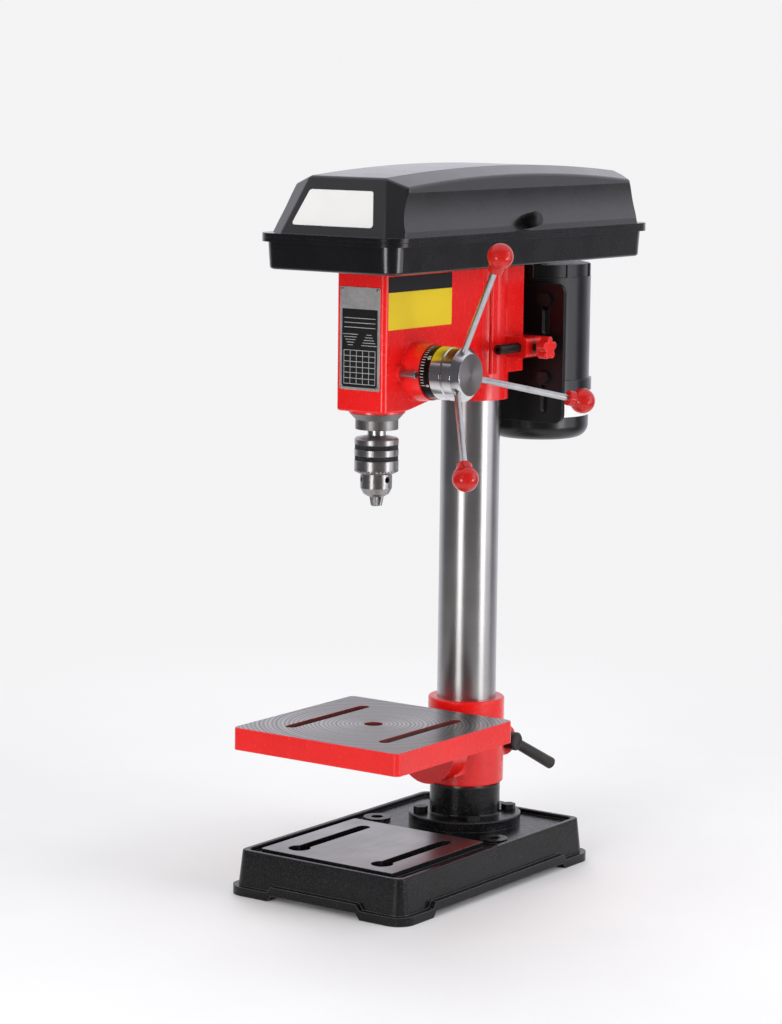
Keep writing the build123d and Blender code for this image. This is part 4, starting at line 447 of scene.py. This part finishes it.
# Paint on the castings
red_gloss = {"Coat Weight": 0.2, "Coat Roughness": 0.14, "Specular IOR Level": 0.44}
black_gloss = {"Coat Weight": 0.12, "Coat Roughness": 0.08, "Specular IOR Level": 0.15}
across_rings = {"Anisotropic": 0.5, "Anisotropic Rotation": 0.25}
across_grooves = {"Anisotropic": 0.6, "Anisotropic Rotation": 0.25}
red_look = {
    "dark": red_deep, "bright": red_bright, "worn": red_wear_and_highlight, "rough": 0.20,
    "skin_depth": 0.02 * mm, "grit_depth": 0.003 * mm, "painted_glints": 0.0,
}
# The black paint's specks are painted glints
black_look = {
    "dark": black_deep, "bright": black_grey, "worn": black_wear_and_highlight, "rough": 0.17,
    "skin_depth": 0.30 * mm, "grit_depth": 0.08 * mm, "painted_glints": 0.17,
}
table_low, table_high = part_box("table")
slot_margin = 8 * mm
slab_thickness = 14 * mm
slot_room = (
    (table_low.x + slot_margin, table_low.y + slot_margin, table_top - slab_thickness),
    (table_high.x - slot_margin, table_high.y - slot_margin, table_top - face_margin),
)
red_cast = casting("red_paint", red_gloss, **red_look)
table_paint = casting(
    "table_paint", {**red_gloss, **across_grooves}, **red_look, top=table_top, marks=facing_marks, iron=table_iron,
    inside=slot_room)
black_cast = casting("black_paint", black_gloss, **black_look)
base_paint = casting("base_paint", black_gloss, **black_look, top=pad_top, marks=ground_marks, iron=pad_iron)

# Paint on sheet metal, and plastics
satin = {"Coat Weight": 0.08, "Coat Roughness": 0.3, "Specular IOR Level": 0.26}
motor_gloss = {"Coat Weight": 0.3, "Coat Roughness": 0.2, "Specular IOR Level": 0.4}
cover_gloss = {"Coat Weight": 0.55, "Coat Roughness": 0.14, "Specular IOR Level": 0.45}
knob_gloss = {"Coat Weight": 0.3, "Coat Roughness": 0.05, "Specular IOR Level": 0.28}
button_gloss = {"Coat Weight": 0.4}
black_sheet = sheet_paint("black_sheet", black_deep, black_grey, rough=0.32, sockets=satin)
motor_paint = sheet_paint("motor_paint", cover_deep, cover_grey, rough=0.26, sockets=motor_gloss)
black_cover = moulded(
    "black_cover", cover_deep, cover_grey, rough=0.24, grain_depth=0.006 * mm, sockets=cover_gloss)
black_plastic = moulded("black_plastic", black_deep, black_grey, rough=0.42, grain_depth=0.04 * mm)
red_plastic = moulded(
    "red_plastic", knob_deep, knob_bright, rough=0.16, grain_depth=0.001 * mm, sockets=knob_gloss)
star_plastic = moulded(
    "star_plastic", star_deep, star_bright, rough=0.2, grain_depth=0.001 * mm, sockets=knob_gloss)
green_plastic = moulded(
    "green_plastic", green_deep, green_bright, rough=0.14, grain_depth=0.004 * mm, sockets=button_gloss)

# Bare and plated metals
column_steel = turned_metal(
    "column_steel", column_dark, column_bright, column_axis, along_z, rough=0.29, grain=2600, sockets=across_rings)
quill_steel = turned_metal("quill_steel", quill_dark, quill_bright, spindle_axis, along_z, rough=0.40)
spindle_steel = turned_metal("turned_steel", steel_dark, steel_bright, spindle_axis, along_z, rough=0.28)
feed_steel = turned_metal("feed_steel", steel_dark, steel_bright, feed_axis, along_x, rough=0.28)
rotor_steel = turned_metal("rotor_steel", steel_dark, steel_bright, motor_axis, along_z, rough=0.30)
chuck_steel = turned_metal(
    "chuck_steel", chuck_dark, chuck_bright, spindle_axis, along_z, rough=0.32, sockets=across_rings)
chrome_turned = turned_metal(
    "chrome", chrome_dark, chrome_bright, feed_axis, along_x, rough=0.15, sockets=across_grooves, round_axis="X",
    end=hub_end)
scale_black = turned_metal("scale_black", oxide_dark, oxide_bright, feed_axis, along_x, rough=0.38)
front_alloy = turned_metal("pulley_alloy", alloy_dark, alloy_bright, spindle_axis, along_z, rough=0.30)
rear_alloy = turned_metal("rear_pulley_alloy", alloy_dark, alloy_bright, motor_axis, along_z, rough=0.30)
chrome_plain = plain_metal("chrome_rods", rod_dark, rod_bright, rough=0.28, scuff_depth=0.001 * mm)
lever_steel = plain_metal("lever_steel", lever_dark, lever_bright, rough=0.42, metallic=0.5, scuff_depth=0.05 * mm)
black_steel = plain_metal("black_steel", oxide_dark, oxide_bright, rough=0.36, metallic=0.7)
zinc_steel = plain_metal("zinc_steel", alloy_dark, alloy_bright, rough=0.30)
bearing_steel = plain_metal("bearing_steel", steel_dark, chrome_bright, rough=0.18)
plate_alloy = plain_metal("plate_alloy", steel_dark, steel_bright, rough=0.34, metallic=0.6)
knurl_steel = plain_metal("knurl_steel", oxide_dark, knurl_bright, rough=0.42)

# Labels and ink
vinyl_gloss = {"Specular IOR Level": 0.3}
plate_print = printed("plate_print", print_grey, print_bright, rough=0.45)
plate_ink = printed("plate_ink", black_deep, black_grey, rough=0.38)
yellow_vinyl = printed("yellow_vinyl", yellow_deep, yellow_bright, rough=0.36, sockets=vinyl_gloss)
black_vinyl = printed("black_vinyl", black_deep, black_grey, rough=0.36, sockets=vinyl_gloss)
white_vinyl = printed("white_vinyl", white_deep, white_bright, rough=0.30)
white_ink = printed("white_ink", white_deep, white_bright, rough=0.45)

finishes = {
    red_cast: ["head_casting", "table_bracket"],
    table_paint: ["table"],
    black_cast: ["column_flange"],
    base_paint: ["base"],
    black_sheet: ["motor_plate", "spring_cap"],
    motor_paint: ["motor_shell", "motor_top_bell", "motor_bottom_bell"],
    black_cover: ["belt_tray", "lid"],
    black_plastic: ["lid_knob", "switch_box", "cable_gland"],
    red_plastic: ["handle_knobs", "stop_button"],
    star_plastic: ["motor_lock_knob"],
    green_plastic: ["start_button"],
    column_steel: ["column"],
    quill_steel: ["quill"],
    spindle_steel: ["spindle", "pulley_insert"],
    feed_steel: ["feed_shaft", "depth_pointer"],
    rotor_steel: ["motor_rotor"],
    chuck_steel: ["chuck_body", "chuck_sleeve", "chuck_nut", "chuck_jaw_1", "chuck_jaw_2", "chuck_jaw_3"],
    chrome_turned: ["feed_hub", "depth_collar"],
    chrome_plain: ["feed_handles"],
    scale_black: ["depth_scale"],
    black_steel: [
        "slide_rods", "motor_lock_screw", "motor_bolts", "flange_bolts", "head_set_screws",
        "table_tilt_bolt", "rod_nuts",
    ],
    lever_steel: ["table_clamp_lever", "table_clamp_screw"],
    zinc_steel: ["spring_cap_nuts", "pulley_nut", "tray_screws", "lid_hinge_pins", "return_spring"],
    bearing_steel: ["quill_bearings", "insert_bearings", "motor_bearings"],
    laminations(): ["motor_stator"],
    front_alloy: ["spindle_pulley"],
    rear_alloy: ["motor_pulley"],
    belt_rubber(): ["v_belt"],
}
for material, names in finishes.items():
    for name in names:
        nodes[name].data.materials.clear()
        nodes[name].data.materials.append(material)


def place(origin, right, up):
    """Matrix of a flat frame: x to the right, y up and z out of the surface."""
    right = Vector(right).normalized()
    up = Vector(up).normalized()
    turn = Matrix((right, up, right.cross(up))).transposed()
    return Matrix.Translation(Vector(origin)) @ turn.to_4x4()


def piece(name, mesh, material, body):
    """Puts a mesh in the scene with its finish, riding on a body."""
    made = bpy.data.objects.new(name, mesh)
    bpy.context.scene.collection.objects.link(made)
    mesh.materials.append(material)
    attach(made, body)
    return made


def finished(work, name):
    """Turns a bmesh into a mesh with outward faces."""
    bmesh.ops.recalc_face_normals(work, faces=work.faces)
    mesh = bpy.data.meshes.new(name)
    work.to_mesh(mesh)
    work.free()
    return mesh


def gather(work, part):
    """Adds one bmesh to another."""
    mesh = bpy.data.meshes.new("part")
    part.to_mesh(mesh)
    part.free()
    work.from_mesh(mesh)
    bpy.data.meshes.remove(mesh)


def rectangle(left, right, bottom, top):
    """Corners of a rectangle, against the clock."""
    return [Vector((left, bottom, 0)), Vector((right, bottom, 0)), Vector((right, top, 0)), Vector((left, top, 0))]


def rounded_outline(corners, radius, steps=5):
    """Outline of a polygon with rounded corners, given in order against the clock."""
    points = []
    for i, here in enumerate(corners):
        back = (corners[i - 1] - here).normalized()
        ahead = (corners[(i + 1) % len(corners)] - here).normalized()
        half = back.angle(ahead) / 2
        centre = here + (back + ahead).normalized() * radius / sin(half)
        start = here + back * radius / tan(half) - centre
        end = here + ahead * radius / tan(half) - centre
        start, end = start.normalized(), end.normalized()
        points += [centre + radius * start.slerp(end, step / steps) for step in range(steps + 1)]
    return points


def add_plate(work, outline, thickness):
    """Adds a closed plate with a flat outline."""
    lower = [work.verts.new((point.x, point.y, 0)) for point in outline]
    upper = [work.verts.new((point.x, point.y, thickness)) for point in outline]
    work.faces.new(lower[::-1])
    work.faces.new(upper)
    for i in range(len(outline)):
        work.faces.new((lower[i - 1], lower[i], upper[i], upper[i - 1]))


def plate(name, outline, thickness, where, edge=0.0):
    """Mesh of a flat plate on a surface, with its upper edge broken."""
    work = bmesh.new()
    add_plate(work, outline, thickness)
    if edge:
        rim = [e for e in work.edges if all(v.co.z > thickness / 2 for v in e.verts)]
        bmesh.ops.bevel(work, geom=rim, offset=edge, segments=2, affect="EDGES")
    work.transform(where)
    return finished(work, name)


def bars(name, boxes, thickness, where):
    """Mesh of several flat bars on a surface, each given as (left, right, bottom, top)."""
    work = bmesh.new()
    for box in boxes:
        add_plate(work, rectangle(*box), thickness)
    work.transform(where)
    return finished(work, name)


def wrap(work, radius, where, step):
    """Bends a flat mesh round a cylinder whose axis is its y axis."""
    half_width = max(abs(vertex.co.x) for vertex in work.verts)
    cuts = int(half_width / step)
    for i in range(-cuts, cuts + 1):
        whole = work.verts[:] + work.edges[:] + work.faces[:]
        bmesh.ops.bisect_plane(work, geom=whole, plane_co=(i * step, 0, 0), plane_no=(1, 0, 0))
    for vertex in work.verts:
        angle = vertex.co.x / radius
        reach = radius + vertex.co.z
        vertex.co = (reach * sin(angle), vertex.co.y, reach * cos(angle))
    work.transform(where)


def add_dome(work, spot, radius, height, rings=5, segments=20):
    """Adds a closed round head, such as a rivet's, on a flat surface."""
    angles = [2 * pi * i / segments for i in range(segments)]
    rows = []
    for ring in range(rings):
        turn = ring / rings * pi / 2
        level = spot + Vector((0, 0, height * sin(turn)))
        spread = radius * cos(turn)
        rows.append([work.verts.new(level + spread * Vector((cos(a), sin(a), 0))) for a in angles])
    tip = work.verts.new(spot + Vector((0, 0, height)))
    work.faces.new(rows[0][::-1])
    for i in range(segments):
        for lower, upper in zip(rows, rows[1:]):
            work.faces.new((lower[i - 1], lower[i], upper[i], upper[i - 1]))
        work.faces.new((rows[-1][i - 1], rows[-1][i], tip))


def shade_smooth(made, angle=35):
    """Smooth shading, kept sharp past an angle."""
    made.data.shade_smooth()
    made.data.set_sharp_from_angle(angle=radians(angle))


# Bare nameplate on the front of the nose: an alloy plate, a dark field with an empty chart, and four rivets
nose_front = -138 * mm
plate_half = 23.5 * mm
plate_low, plate_high = 500 * mm, 599 * mm
plate_thickness = 0.8 * mm
plate_corner = 1.5 * mm
plate_edge = 0.15 * mm
ink_thickness = 0.06 * mm
line_thickness = 0.03 * mm
field_set = 2.6 * mm
field_half = plate_half - field_set
field_low, field_top = plate_low + field_set, 578 * mm
field_corner = 0.8 * mm
on_nose = place((0, nose_front, 0), (1, 0, 0), (0, 0, 1))
on_plate = place((0, nose_front - plate_thickness, 0), (1, 0, 0), (0, 0, 1))
on_field = place((0, nose_front - plate_thickness - ink_thickness, 0), (1, 0, 0), (0, 0, 1))

outline = rounded_outline(rectangle(-plate_half, plate_half, plate_low, plate_high), plate_corner)
piece("nameplate", plate("nameplate", outline, plate_thickness, on_nose, plate_edge), plate_alloy, "frame")
outline = rounded_outline(rectangle(-field_half, field_half, field_low, field_top), field_corner)
piece("nameplate_field", plate("nameplate_field", outline, ink_thickness, on_plate), plate_ink, "frame")

# Empty chart: rules, two stepped cones, and ruled rows and columns below them
line_width = 0.45 * mm
chart_half = field_half - 2.5 * mm
chart_low = field_low + 3 * mm
chart_rows, chart_columns = 6, 5
row_pitch = 5.4 * mm
column_pitch = 2 * chart_half / chart_columns
chart_top = chart_low + chart_rows * row_pitch
cone_steps = 5
cone_tip = 3 * mm
cone_step = 1.5 * mm
cone_rise = 2.6 * mm
cone_offset = 11 * mm
cone_foot = chart_top + 5 * mm
rule_count = 3
rule_pitch = 4.5 * mm
rule_foot = cone_foot + cone_steps * cone_rise + 4 * mm


def level_line(middle, half, foot):
    """Box of a thin line across the plate."""
    return middle - half, middle + half, foot, foot + line_width


boxes = [level_line(0, chart_half, chart_low + i * row_pitch) for i in range(chart_rows + 1)]
for i in range(chart_columns + 1):
    x = -chart_half + i * column_pitch
    boxes.append((x - line_width / 2, x + line_width / 2, chart_low, chart_top + line_width))
for i in range(cone_steps):
    foot = cone_foot + i * cone_rise
    boxes.append(level_line(-cone_offset, cone_tip + i * cone_step, foot))
    boxes.append(level_line(cone_offset, cone_tip + (cone_steps - 1 - i) * cone_step, foot))
boxes += [level_line(0, chart_half, rule_foot + i * rule_pitch) for i in range(rule_count)]
piece("nameplate_lines", bars("nameplate_lines", boxes, line_thickness, on_field), plate_print, "frame")

rivet_set = 2.6 * mm
rivet_radius = 1.7 * mm
rivet_height = 0.9 * mm
work = bmesh.new()
for x in (-plate_half + rivet_set, plate_half - rivet_set):
    for z in (plate_low + rivet_set, plate_high - rivet_set):
        add_dome(work, Vector((x, z, 0)), rivet_radius, rivet_height)
work.transform(on_plate)
shade_smooth(piece("nameplate_rivets", finished(work, "nameplate_rivets"), zinc_steel, "frame"))

# Bare two-tone sticker on the right of the nose
nose_side = 29 * mm
sticker_front, sticker_back = -132.5 * mm, -25.5 * mm
sticker_low, sticker_band, sticker_high = 558.5 * mm, 594.5 * mm, 609.5 * mm
sticker_thickness = 0.12 * mm
sticker_corner = 0.5 * mm
on_side = place((nose_side, 0, 0), (0, 1, 0), (0, 0, 1))
outline = rounded_outline(rectangle(sticker_front, sticker_back, sticker_low, sticker_band), sticker_corner)
piece("side_sticker", plate("side_sticker", outline, sticker_thickness, on_side), yellow_vinyl, "frame")
outline = rounded_outline(rectangle(sticker_front, sticker_back, sticker_band, sticker_high), sticker_corner)
piece("side_sticker_band", plate("side_sticker_band", outline, sticker_thickness, on_side), black_vinyl, "frame")


flat_match = 0.995


def face_place(node, direction):
    """Frame on the flat face of a node that looks along a direction, with its origin on the middle plane."""
    direction = Vector(direction).normalized()
    faces = [face for face in nodes[node].data.polygons if face.normal.dot(direction) > flat_match]
    area = sum(face.area for face in faces)
    middle = sum((face.center * face.area for face in faces), Vector()) / area
    normal = sum((face.normal * face.area for face in faces), Vector()).normalized()
    up = (along_z - normal * normal.z).normalized()
    return place((0, middle.y, middle.z), up.cross(normal), up)


# Bare white sticker on the front of the lid
lid_lean = 0.45
label_offset = -3 * mm
label_foot_half, label_head_half = 48 * mm, 37 * mm
label_half_height = 18.5 * mm
label_corner = 3 * mm
label_thickness = 0.2 * mm
label_edge = 0.08 * mm
on_lid = face_place("lid", (0, -1, lid_lean))
corners = [
    Vector((label_offset - label_foot_half, -label_half_height, 0)),
    Vector((label_offset + label_foot_half, -label_half_height, 0)),
    Vector((label_offset + label_head_half, label_half_height, 0)),
    Vector((label_offset - label_head_half, label_half_height, 0)),
]
outline = rounded_outline(corners, label_corner)
piece("lid_sticker", plate("lid_sticker", outline, label_thickness, on_lid, label_edge), white_vinyl, "lid")

# Bare label round the foot of the motor's shell, on its right
shell_radius = 53 * mm
motor_label_low, motor_label_high = 452 * mm, 477 * mm
motor_label_half = 32 * mm
motor_label_corner = 1.5 * mm
motor_label_thickness = 0.15 * mm
motor_label_turn = radians(91)
motor_label_step = 2 * mm
facing_label = Vector((sin(motor_label_turn), -cos(motor_label_turn), 0))
on_motor = place((motor_axis.x, motor_axis.y, 0), along_z.cross(facing_label), along_z)
corners = rectangle(-motor_label_half, motor_label_half, motor_label_low, motor_label_high)
work = bmesh.new()
add_plate(work, rounded_outline(corners, motor_label_corner), motor_label_thickness)
wrap(work, shell_radius, on_motor, motor_label_step)
shade_smooth(piece("motor_label", finished(work, "motor_label"), white_vinyl, "motor"))

# Marks of the depth scale: a line for each millimetre of feed and a number for each ten
pinion_radius = 9 * mm
scale_low, scale_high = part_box("depth_scale")
scale_radius = (scale_high.z - scale_low.z) / 2
scale_reach = 50
number_pitch = 10
scale_start = radians(-25)
mark_width = 0.5 * mm
mark_height = 0.04 * mm
mark_set = 0.6 * mm
mark_lengths = {0: 5.2 * mm, 5: 4.6 * mm}
short_mark = 3.8 * mm
number_size = 5.0 * mm
number_middle = 8.0 * mm
number_step = 0.5 * mm


def scale_place(mark):
    """Frame on the scale's rim at one mark, with its y axis along the feed shaft."""
    turn = scale_start + mark * mm / pinion_radius
    out = Vector((0, -cos(turn), sin(turn)))
    return place((scale_low.x, feed_axis.y, feed_axis.z), out.cross(along_x) * -1, along_x)


work = bmesh.new()
for mark in range(scale_reach + 1):
    length = mark_lengths.get(mark % number_pitch, short_mark)
    stroke = bmesh.new()
    add_plate(stroke, rectangle(-mark_width / 2, mark_width / 2, mark_set, mark_set + length), mark_height)
    wrap(stroke, scale_radius, scale_place(mark), mark_width)
    gather(work, stroke)
piece("scale_marks", finished(work, "scale_marks"), white_ink, "depth_dial")


def number_mesh(text, size, thickness):
    """Flat mesh of a plain number, centred on its origin."""
    curve = bpy.data.curves.new("number", "FONT")
    curve.body = text
    curve.size = size
    curve.align_x = "CENTER"
    curve.align_y = "CENTER"
    curve.extrude = thickness / 2
    holder = bpy.data.objects.new("number", curve)
    mesh = bpy.data.meshes.new_from_object(holder)
    bpy.data.objects.remove(holder)
    return mesh


work = bmesh.new()
for mark in range(0, scale_reach + 1, number_pitch):
    digits = bmesh.new()
    digits.from_mesh(number_mesh(str(mark), number_size, mark_height))
    digits.transform(Matrix.Translation((0, number_middle, mark_height / 2)))
    wrap(digits, scale_radius, scale_place(mark), number_step)
    gather(work, digits)
piece("scale_numbers", finished(work, "scale_numbers"), white_ink, "depth_dial")

# Knurled bands in the two grooves of the chuck's sleeve
knurl_floor = 20.75 * mm
knurl_height = 0.45 * mm
knurl_width = 4.5 * mm
knurl_depth = 0.1 * mm
knurl_gap = 0.1 * mm
knurl_count = 60
knurl_rows = 8
knurl_points = 4
knurl_crossings = 3
sleeve_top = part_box("chuck_sleeve")[1].z
groove_feet = [sleeve_top - 11.2 * mm, sleeve_top - 22.0 * mm]


def add_knurl(work, foot):
    """Adds a ring with crossed ridges round the spindle's axis."""
    around = knurl_count * knurl_points
    inner, outer = [], []
    for i in range(around):
        angle = 2 * pi * i / around
        spoke = Vector((cos(angle), sin(angle), 0))
        phase = i / knurl_points
        column = []
        for row in range(knurl_rows + 1):
            height = row / knurl_rows * knurl_width
            cross = row / knurl_rows * knurl_crossings
            ridge = abs(sin(pi * (phase + cross))) * abs(sin(pi * (phase - cross)))
            spot = spindle_axis + spoke * (knurl_floor + knurl_height * ridge)
            column.append(work.verts.new((spot.x, spot.y, foot + height)))
        outer.append(column)
        spot = spindle_axis + spoke * (knurl_floor - knurl_depth)
        inner.append([work.verts.new((spot.x, spot.y, foot + end)) for end in (0, knurl_width)])
    for i in range(around):
        for row in range(knurl_rows):
            work.faces.new((outer[i - 1][row], outer[i][row], outer[i][row + 1], outer[i - 1][row + 1]))
        work.faces.new((inner[i - 1][0], inner[i - 1][1], inner[i][1], inner[i][0]))
        work.faces.new((inner[i - 1][0], inner[i][0], outer[i][0], outer[i - 1][0]))
        work.faces.new((inner[i - 1][1], outer[i - 1][-1], outer[i][-1], inner[i][1]))


work = bmesh.new()
for foot in groove_feet:
    add_knurl(work, foot + knurl_gap)
piece("chuck_knurls", finished(work, "chuck_knurls"), knurl_steel, "chuck_sleeve")

# Marks on the two push buttons: a bar for on, a ring for off
bar_half_width, bar_half_height = 0.8 * mm, 4 * mm
ring_outer = 3.8 * mm
ring_inner = ring_outer - 1.3 * mm
ring_steps = 40
button_mark = 0.25 * mm


def on_button(node):
    """Frame on the face of a button, which looks to the left."""
    low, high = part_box(node)
    middle = (low + high) / 2
    return place((low.x, middle.y, middle.z), (0, -1, 0), (0, 0, 1))


bar = (-bar_half_width, bar_half_width, -bar_half_height, bar_half_height)
start_mark = bars("start_mark", [bar], button_mark, on_button("start_button"))
piece("start_mark", start_mark, white_ink, "start_button")
work = bmesh.new()
angles = [2 * pi * i / ring_steps for i in range(ring_steps)]
rings = []
for radius, level in ((ring_outer, 0), (ring_outer, button_mark), (ring_inner, button_mark), (ring_inner, 0)):
    rings.append([work.verts.new((radius * cos(a), radius * sin(a), level)) for a in angles])
for k in range(len(rings)):
    for i in range(ring_steps):
        work.faces.new((rings[k - 1][i - 1], rings[k - 1][i], rings[k][i], rings[k][i - 1]))
work.transform(on_button("stop_button"))
piece("stop_mark", finished(work, "stop_mark"), white_ink, "stop_button")

# Camera, at the angle that was fitted to the photo
target = Vector((-64.8, 8.1, 359.6)) * mm
back = Vector((0.57198, -0.80784, 0.14228)).normalized()
camera_distance = 3184.9 * mm
camera_roll = radians(0.68)
lens = 110.1
sensor = 36
camera_reach = 50
camera_data = bpy.data.cameras.new("camera")
camera_data.lens = lens
camera_data.sensor_width = sensor
camera_data.clip_end = camera_reach
camera = bpy.data.objects.new("camera", camera_data)
bpy.context.scene.collection.objects.link(camera)
camera.location = target + back * camera_distance
camera.rotation_mode = "QUATERNION"
level_turn = (-back).to_track_quat("-Z", "Y").to_matrix()
camera.rotation_quaternion = (level_turn @ Matrix.Rotation(camera_roll, 3, "Z")).to_quaternion()
bpy.context.scene.camera = camera


def softbox(name, spot, aim, size, power, colour=(1, 1, 1), in_gloss=True):
    """Rectangular lamp that looks at a point, and that gloss may show or not."""
    data = bpy.data.lights.new(name, "AREA")
    data.color = colour
    data.shape = "RECTANGLE"
    data.size, data.size_y = size
    data.energy = power
    lamp = bpy.data.objects.new(name, data)
    bpy.context.scene.collection.objects.link(lamp)
    lamp.visible_glossy = in_gloss
    lamp.location = spot
    lamp.rotation_mode = "QUATERNION"
    lamp.rotation_quaternion = (Vector(aim) - Vector(spot)).to_track_quat("-Z", "Y")


# Large soft lamps that gloss doesn't show, two low strips that it does, and a cool fill on the right
lamp_aim = (0, 0, 0.38)
strip_aim = (0, 0, 0.22)
fill_aim = (0, 0, 0.85)
box_size = (0.9, 1.5)
wide_size = (1.4, 1.4)
strip_size = (0.46, 0.40)
fill_size = (1.1, 1.7)
fill_cool = (0.92, 0.91, 1.0)
softbox("front_softbox", (0.10, -1.90, 0.95), lamp_aim, box_size, power=21, in_gloss=False)
softbox("right_softbox", (1.90, 0.10, 0.95), lamp_aim, box_size, power=16.5, in_gloss=False)
softbox("top_softbox", (-0.2, 0.3, 2.2), lamp_aim, wide_size, power=15, in_gloss=False)
softbox("back_fill", (-1.4, 1.5, 1.3), lamp_aim, wide_size, power=24, in_gloss=False)
softbox("front_strip", (0.08, -1.60, 0.22), strip_aim, strip_size, power=4.6)
softbox("right_strip", (1.60, 0.09, 0.22), strip_aim, strip_size, power=4.2)
softbox("right_fill", (1.75, 0.82, 0.85), fill_aim, fill_size, power=10.5, colour=fill_cool)

# The studio: a pale backdrop, which gloss shows behind the object only, and a dim room on the camera's side
backdrop_pale = (0.90, 0.90, 0.91, 1)
backdrop_gloss = (0.88, 0.87, 0.95, 1)
floor_pale = (0.84, 0.84, 0.85, 1)
floor_grain = (0.86, 0.86, 0.87, 1)
floor_specular = 0.2
floor_rough = (0.7, 0.8)
floor_half = 30.0
floor_drop = -0.05
ambient = 0.29
room_dim = 0.10
room_edge = (0.30, 0.75)
room_rise = 1.2
camera_fade = (0.25, 1.5)
gloss_fade = (0.5, 1.2)
behind = Vector((-back.x, -back.y, 0)).normalized()


def room_level(graph, way, height):
    """Brightness of the room in a direction and at a height, as gloss shows it."""
    depth = graph.vector("DOT_PRODUCT", way, behind)
    rise = graph.maths("MULTIPLY", height, room_rise)
    return graph.ramp(graph.maths("ADD", depth, rise), *room_edge, room_dim, 1.0)


floor_mesh = bpy.data.meshes.new("floor")
floor_mesh.from_pydata(rectangle(-floor_half, floor_half, -floor_half, floor_half), [], [(0, 1, 2, 3)])
floor = bpy.data.objects.new("floor", floor_mesh)
bpy.context.scene.collection.objects.link(floor)
ground = Finish("floor", {"Specular IOR Level": floor_specular})
grain = ground.noise(scale=6, detail=2)
tone = ground.blend(ground.ramp(grain, *noise_most), floor_pale, floor_grain)
ground.coat(tone, ground.ramp(grain, *noise_most, *floor_rough))
reach = ground.vector("LENGTH", ground.point)
away = ground.vector("NORMALIZE", ground.point)
seen = ground.add("ShaderNodeLightPath").outputs
by_camera = ground.maths("MAXIMUM", seen["Is Camera Ray"], seen["Is Transmission Ray"])
camera_far = ground.maths("MULTIPLY", ground.ramp(reach, *camera_fade, kind="SMOOTHERSTEP"), by_camera)
gloss_far = ground.maths("MULTIPLY", ground.ramp(reach, *gloss_fade), seen["Is Glossy Ray"])
strength = ground.between(seen["Is Glossy Ray"], 1.0, room_level(ground, away, floor_drop))
hue = ground.blend(seen["Is Glossy Ray"], backdrop_pale, backdrop_gloss)
glow = ground.add("ShaderNodeEmission", {"Color": hue, "Strength": strength})
both = ground.add("ShaderNodeMixShader", {
    0: ground.maths("MAXIMUM", camera_far, gloss_far),
    1: ground.shader.outputs["BSDF"],
    2: glow.outputs["Emission"],
})
ground.feed(ground.tree.nodes["Material Output"], {"Surface": both.outputs[0]})
floor_mesh.materials.append(ground.material)

world = bpy.data.worlds.new("studio")
bpy.context.scene.world = world
world.use_nodes = True
room = Graph(world.node_tree)
seen = room.add("ShaderNodeLightPath").outputs
way = room.add("ShaderNodeTexCoord").outputs["Generated"]
level = room.between(seen["Is Glossy Ray"], ambient, room_level(room, way, room.axes(way)["Z"]))
level = room.between(room.maths("MAXIMUM", seen["Is Camera Ray"], seen["Is Transmission Ray"]), level, 1.0)
hue = room.blend(seen["Is Glossy Ray"], backdrop_pale, backdrop_gloss)
room.feed(room.tree.nodes["Background"], {"Color": hue, "Strength": level})

bpy.context.scene.view_settings.view_transform = "Standard"
